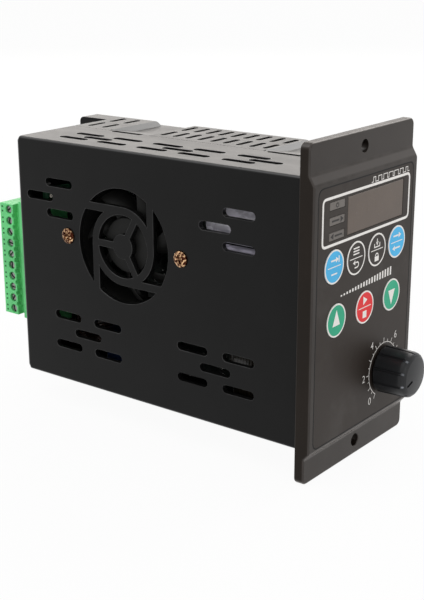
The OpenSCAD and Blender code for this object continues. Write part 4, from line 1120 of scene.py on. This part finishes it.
def rotorBlade(first):
    # A lens section along u, laid at a tilt that eases from root to tip, then wrapped round the axis at its
    # radius
    count = rotor["points"]
    tip = (rotorHigh[1] - rotorLow[1]) / 2 - rotor["tipGap"]
    span = np.linspace(rotor["hubWide"] / 2 - rotor["rootDeep"], tip, rotor["rows"])[:, None]
    share = (span - span[0]) / (span[-1] - span[0])
    u = np.concatenate([np.linspace(-0.5, 0.5, count), np.linspace(0.5, -0.5, count)[1:-1]])[None, :]
    face = np.concatenate([np.ones(count), -np.ones(count - 2)])[None, :]
    thick = rotor["thick"] / 2 * np.sqrt(np.clip(1 + rotor["blunt"] - (2 * u) ** 2, 0, 1)) * face
    camber = rotor["camber"] * (1 - (2 * u) ** 2)
    tilt = np.radians(rotor["rootTilt"] + (rotor["tipTilt"] - rotor["rootTilt"]) * share)
    chord = rotor["chord"] * (1 - rotor["taper"] + rotor["taper"] * np.sin(share * np.pi))
    along, off = u * chord, thick + camber
    around = along * np.cos(tilt) - off * np.sin(tilt)
    limit = (rotorHigh[0] - rotorLow[0]) / 2 - rotor["room"]
    height = np.clip(along * np.sin(tilt) + off * np.cos(tilt), -limit, limit)
    angle = first + around / span + rotor["sweep"] * share ** rotor["sweepCurve"]
    points = np.stack([span * np.cos(angle), span * np.sin(angle), height], -1)
    return points.reshape(-1, 3), closedFaces(*points.shape[:2])


def rotorHub():  # a cup with a rounded shoulder, turned round the axis
    radius, deep, wall = rotor["hubWide"] / 2, rotor["hubDeep"], rotor["hubWall"]
    inner = radius - wall
    edge = [[0, 0], [radius, 0], [radius, -deep], [inner, -deep], [inner, -wall], [0, -wall]]
    return turned(filleted(edge, rotor["hubRound"], False), 72)


def rotorShaft():  # a pin with a slanted end
    radius, long, slant = rotor["shaftRadius"], rotor["shaftLong"], rotor["shaftSlant"]
    return turned([[0, 0], [radius, 0], [radius, long - slant], [radius - slant, long], [0, long]], 24)


fanMid = boxOf("fan_stator")[2]
bladeAngles = np.arange(rotor["blades"]) * 2 * np.pi / rotor["blades"]
rotorParts = [(rotorBlade(angle), rotorLow[0] + rotor["bladeMid"]) for angle in bladeAngles]
rotorParts += [(rotorHub(), rotorLow[0]), (rotorShaft(), rotorHigh[0])]
makePiece("fan_rotor_skin", [stand(part, (x, fanMid[1], fanMid[2]), (-1, 0, 0)) for part, x in rotorParts],
          "fan_black", bodyOf("fan_rotor"), replaced=("fan_rotor",))
print("fan made")


# Bus capacitors
def canSurface(wide, long):  # a sleeved can: rounded ends, a rolled groove near the seal and a sunk end disc
    r = wide / 2
    profile = [[0, 0.9], [r - 2.4, 0.9], [r - 2.0, 0.2], [r - 1.1, 0], [r - 0.3, 0.3], [r, 1.1], [r, 3.2],
               [r - 0.55, 3.7], [r - 0.75, 4.3], [r - 0.55, 4.9], [r, 5.4], [r, long - 1.2],
               [r - 0.3, long - 0.4], [r - 1.0, long], [r - 1.6, long - 0.2], [r - 1.8, long - 0.5],
               [0, long - 0.5]]
    return turned(filleted(profile, 0.14, False, 4), 72)


low, high, mid = boxOf("bus_capacitors")
canWide, canLong = (high - low)[:2]
makePiece("bus_capacitors_skin",
          [stand(canSurface(canWide, canLong), (mid[0], high[1], z), (0, -1, 0))
           for z in (low[2] + canWide / 2, high[2] - canWide / 2)],
          "cap_sleeve", replaced=("bus_capacitors",))


# Line choke: a ring core with its winding
choke = {
    "turns": 34,
    "turnSteps": 20,
    "wire": 1.15,  # width in millimetres
    "hole": 4.0,  # radius
    "coreRound": 1.0,
    "square": 0.6,  # power that makes a turn squarer than a circle
}


def tubeAlong(path, radius, sides=8):
    # A circle of the tube's radius carried along a closed path, square to it at each point
    ahead = np.roll(path, -1, 0) - np.roll(path, 1, 0)
    ahead /= np.linalg.norm(ahead, axis=1)[:, None]
    side = np.cross(ahead, [0, 0, 1.0])
    side /= np.linalg.norm(side, axis=1)[:, None]
    over = np.cross(side, ahead)
    angle = (np.arange(sides) * 2 * np.pi / sides)[None, :, None]
    points = path[:, None] + radius * (side[:, None] * np.cos(angle) + over[:, None] * np.sin(angle))
    return points.reshape(-1, 3), gridFaces(len(path), sides, True, True)


def windingPath(ring, across, high):  # a loop round the core's section, carried once round the ring
    steps = choke["turns"] * choke["turnSteps"]
    t = np.arange(steps) * 2 * np.pi / steps
    out, up = np.cos(t * choke["turns"]), np.sin(t * choke["turns"])
    radius = ring + across * np.sign(out) * np.abs(out) ** choke["square"]
    height = high * np.sign(up) * np.abs(up) ** choke["square"]
    return np.column_stack([radius * np.cos(t), radius * np.sin(t), height])


low, high, mid = boxOf("line_choke")
outer, deep = (high[1] - low[1]) / 2, high[0] - low[0]
ring, across = (outer + choke["hole"]) / 2, (outer - choke["hole"]) / 2  # radius, and half the section
wire = choke["wire"]
coreOutline = filleted(rectangle(2 * (across - wire), deep - 2 * wire), choke["coreRound"]) + [ring, 0]
core = turned(np.vstack([coreOutline, coreOutline[:1]]))
winding = tubeAlong(windingPath(ring, across - wire / 2, (deep - wire) / 2), wire / 2)
makePiece("choke_core", [stand(core, mid, (-1, 0, 0))], "module_black")
makePiece("line_choke_skin", [stand(winding, mid, (-1, 0, 0))], "copper", replaced=("line_choke",))


# Strips that carry the lands' tops on to the parting line
strip = {"from": -0.75, "to": 1.1, "deep": 0.8, "spans": ((41.2, 99.5), (122.0, 142.4))}  # millimetres
shellHigh = boxOf("left_shell")[1]


def landStrip(start, end, way):  # a four-sided bar along the depth, its outer face flush with the shell's top
    wide, deep = strip["to"] - strip["from"], strip["deep"]
    x, z = (rectangle(wide, deep) + [strip["from"] + wide / 2, shellHigh[2] - deep / 2]).T
    points = np.vstack([np.column_stack([x, np.full(4, y), way * z]) for y in (start, end)])
    return points, closedFaces(2, 4)


makePiece("land_strips", [landStrip(*span, way) for span in strip["spans"] for way in (-1, 1)], "shell_black")


# Small parts on the power board, seen through the slots
def block(wide, high, deep, edge):
    # A filleted outline carried up in four rings, drawn in at the first and last
    rows = [(edge, 0), (0, edge), (0, deep - edge), (edge, deep)]
    outlines = [filleted(rectangle(wide - 2 * inset, high - 2 * inset), edge * 1.4, True, 4)
                for inset, z in rows]
    count = len(outlines[0])
    rings = [np.column_stack([outline, np.full(count, z)]) for outline, (inset, z) in zip(outlines, rows)]
    return np.vstack(rings), closedFaces(len(rows), count)


def resistorBody(radius, long):  # a small turned body with swollen ends
    slim = radius - 0.22
    half = [[0, 0], [radius - 0.2, 0], [radius, 0.35], [radius, 1.3], [slim, 1.8]]
    profile = half + [[wide, long - place] for wide, place in half[::-1]]
    return turned(filleted(profile, 0.08, False, 4), 24)


boardParts = {  # places are depth and height in the frame, in millimetres
    "chip": (2.4, 1.3, 0.8, 0.12),  # width, height, how far it stands out, edge
    "chips": [(124, 40), (127.5, 38), (121, 42), (130, 41), (117, 40), (63, 44), (67, 46), (71, 43),
              (60, 40)],
    "post": (1.6, 1.6, 18, 0.3),
    "posts": [(130.5, 27)],
    "filmCapacitor": (3.2, 5.0, 15, 0.7),
    "filmCapacitors": [(137.4, 26.4)],
    "resistor": (1.15, 7),  # radius and length
    "resistors": [(56, 24), (56, 30), (74, 40), (112, 26)],
    "resistorLift": 1.3,  # from the board to the middle of a resistor
}
boardFace = boxOf("power_board")[0][0]


def onBoard(kind):  # a block at each of its places, standing out from the board
    shape = block(*boardParts[kind])
    return [stand(shape, (boardFace, y, z), (-1, 0, 0)) for y, z in boardParts[kind + "s"]]


makePiece("board_chips", onBoard("chip"), "display_cream")
makePiece("board_posts", onBoard("post"), "display_cream")
makePiece("board_film_capacitor", onBoard("filmCapacitor"), "capacitorResin")
resistor = resistorBody(*boardParts["resistor"])
makePiece("board_resistors", [stand(resistor, (boardFace - boardParts["resistorLift"], y, z), (0, 1, 0))
                              for y, z in boardParts["resistors"]], "display_cream")
print("inner parts made")


# Marks on the terminal plug, two beside each screw on its rear side
plugMark = {"wide": 0.95, "high": 0.8, "fromRear": 1.5, "shift": 1.0}  # shift up and down from the screw
low, high = boxOf("terminal_plug")[:2]
heights = [boxOf(f"terminal_screw_{way}")[2][2] + side * plugMark["shift"]
           for way in terminalWays for side in (-1, 1)]
makePiece("terminal_marks", [stand(bar(plugMark["wide"], plugMark["high"]),
                                   (low[0], high[1] - plugMark["fromRear"], z), (-1, 0, 0)) for z in heights],
          "terminalInk", "plug_body")


# Floor, light and background
studio = {
    "floorDrop": 0.2,  # millimetres under the part
    "floorSize": 12.0,  # metres
    "floorGlow": 0.95,
    "floorGrey": 0.9,
    "ambient": 0.6,  # strength of the white surround for diffuse light
    "aim": (0.0, 0.07, 0.0),  # metres
}
lamps = {  # place and size in metres; a level of 1 is white
    "backPanel": {"place": (1.1, 0.95, 0.55), "size": (1.1, 0.7), "level": 2.4, "colour": (1, 0.94, 0.88)},
    "rightSoft": {"place": (0.98, -0.02, 0.88), "size": (0.8, 0.8), "level": 2.8, "colour": (1, 0.98, 0.96)},
    "frontFill": {"place": (-0.25, -1.35, 0.35), "size": (0.6, 0.6), "level": 1.4, "colour": (1, 0.99, 0.98)},
    "leftSoft": {"place": (-0.6, 0.38, 1.12), "size": (0.9, 0.9), "level": 1.5, "colour": (1, 1, 1)},
}
pureWhite = (1.0, 1.0, 1.0, 1.0)


def seenRay(net):  # 1 on rays from the camera, mirrors and glass, 0 on diffuse ones
    names = ("Is Camera Ray", "Is Glossy Ray", "Is Transmission Ray")
    camera, mirror, glass = (net.add("LightPath", {}, {}, name) for name in names)
    return net.band(camera + mirror + glass, 0.0, 0.5)


def makeFloor():
    height = (frameLow[2] - studio["floorDrop"]) * mm
    corners = rectangle(studio["floorSize"], studio["floorSize"])
    mesh = bpy.data.meshes.new("floor")
    mesh.from_pydata(np.column_stack([corners, np.full(4, height)]).tolist(), [], [[0, 1, 2, 3]])
    net = newNet("paleFloor")
    matt = net.add("BsdfDiffuse", {}, {"Color": scaled(pureWhite, studio["floorGrey"])})
    white = net.add("Emission", {}, {"Color": pureWhite, "Strength": 1.0})
    blend = net.add("MixShader", {}, {0: seenRay(net) * studio["floorGlow"], 1: matt, 2: white})
    net.add("OutputMaterial", {}, {"Surface": blend})
    mesh.materials.append(net.owner)
    floor = bpy.data.objects.new("floor", mesh)
    bpy.context.scene.collection.objects.link(floor)


def makeSurround():  # white for the camera, mirrors and glass, softer for diffuse light
    world = bpy.data.worlds.new("surround")
    bpy.context.scene.world = world
    net = Net(world)
    strength = studio["ambient"] + seenRay(net) * (1 - studio["ambient"])
    sky = net.add("Background", {}, {"Color": pureWhite, "Strength": strength})
    net.add("OutputWorld", {}, {"Surface": sky})


def makeLamp(name, place, size, level, colour):
    data = bpy.data.lights.new(name, "AREA")
    data.color = colour
    data.shape = "RECTANGLE"
    data.size, data.size_y = size
    data.energy = level * math.pi * size[0] * size[1]
    lamp = bpy.data.objects.new(name, data)
    lamp.location = place
    lamp.rotation_euler = (Vector(studio["aim"]) - Vector(place)).to_track_quat("-Z", "Y").to_euler()
    lamp.visible_camera = False
    bpy.context.scene.collection.objects.link(lamp)


makeFloor()
makeSurround()
for name, lamp in lamps.items():
    makeLamp(name, **lamp)
bpy.context.scene.view_settings.view_transform = "Standard"
print("floor and light made")
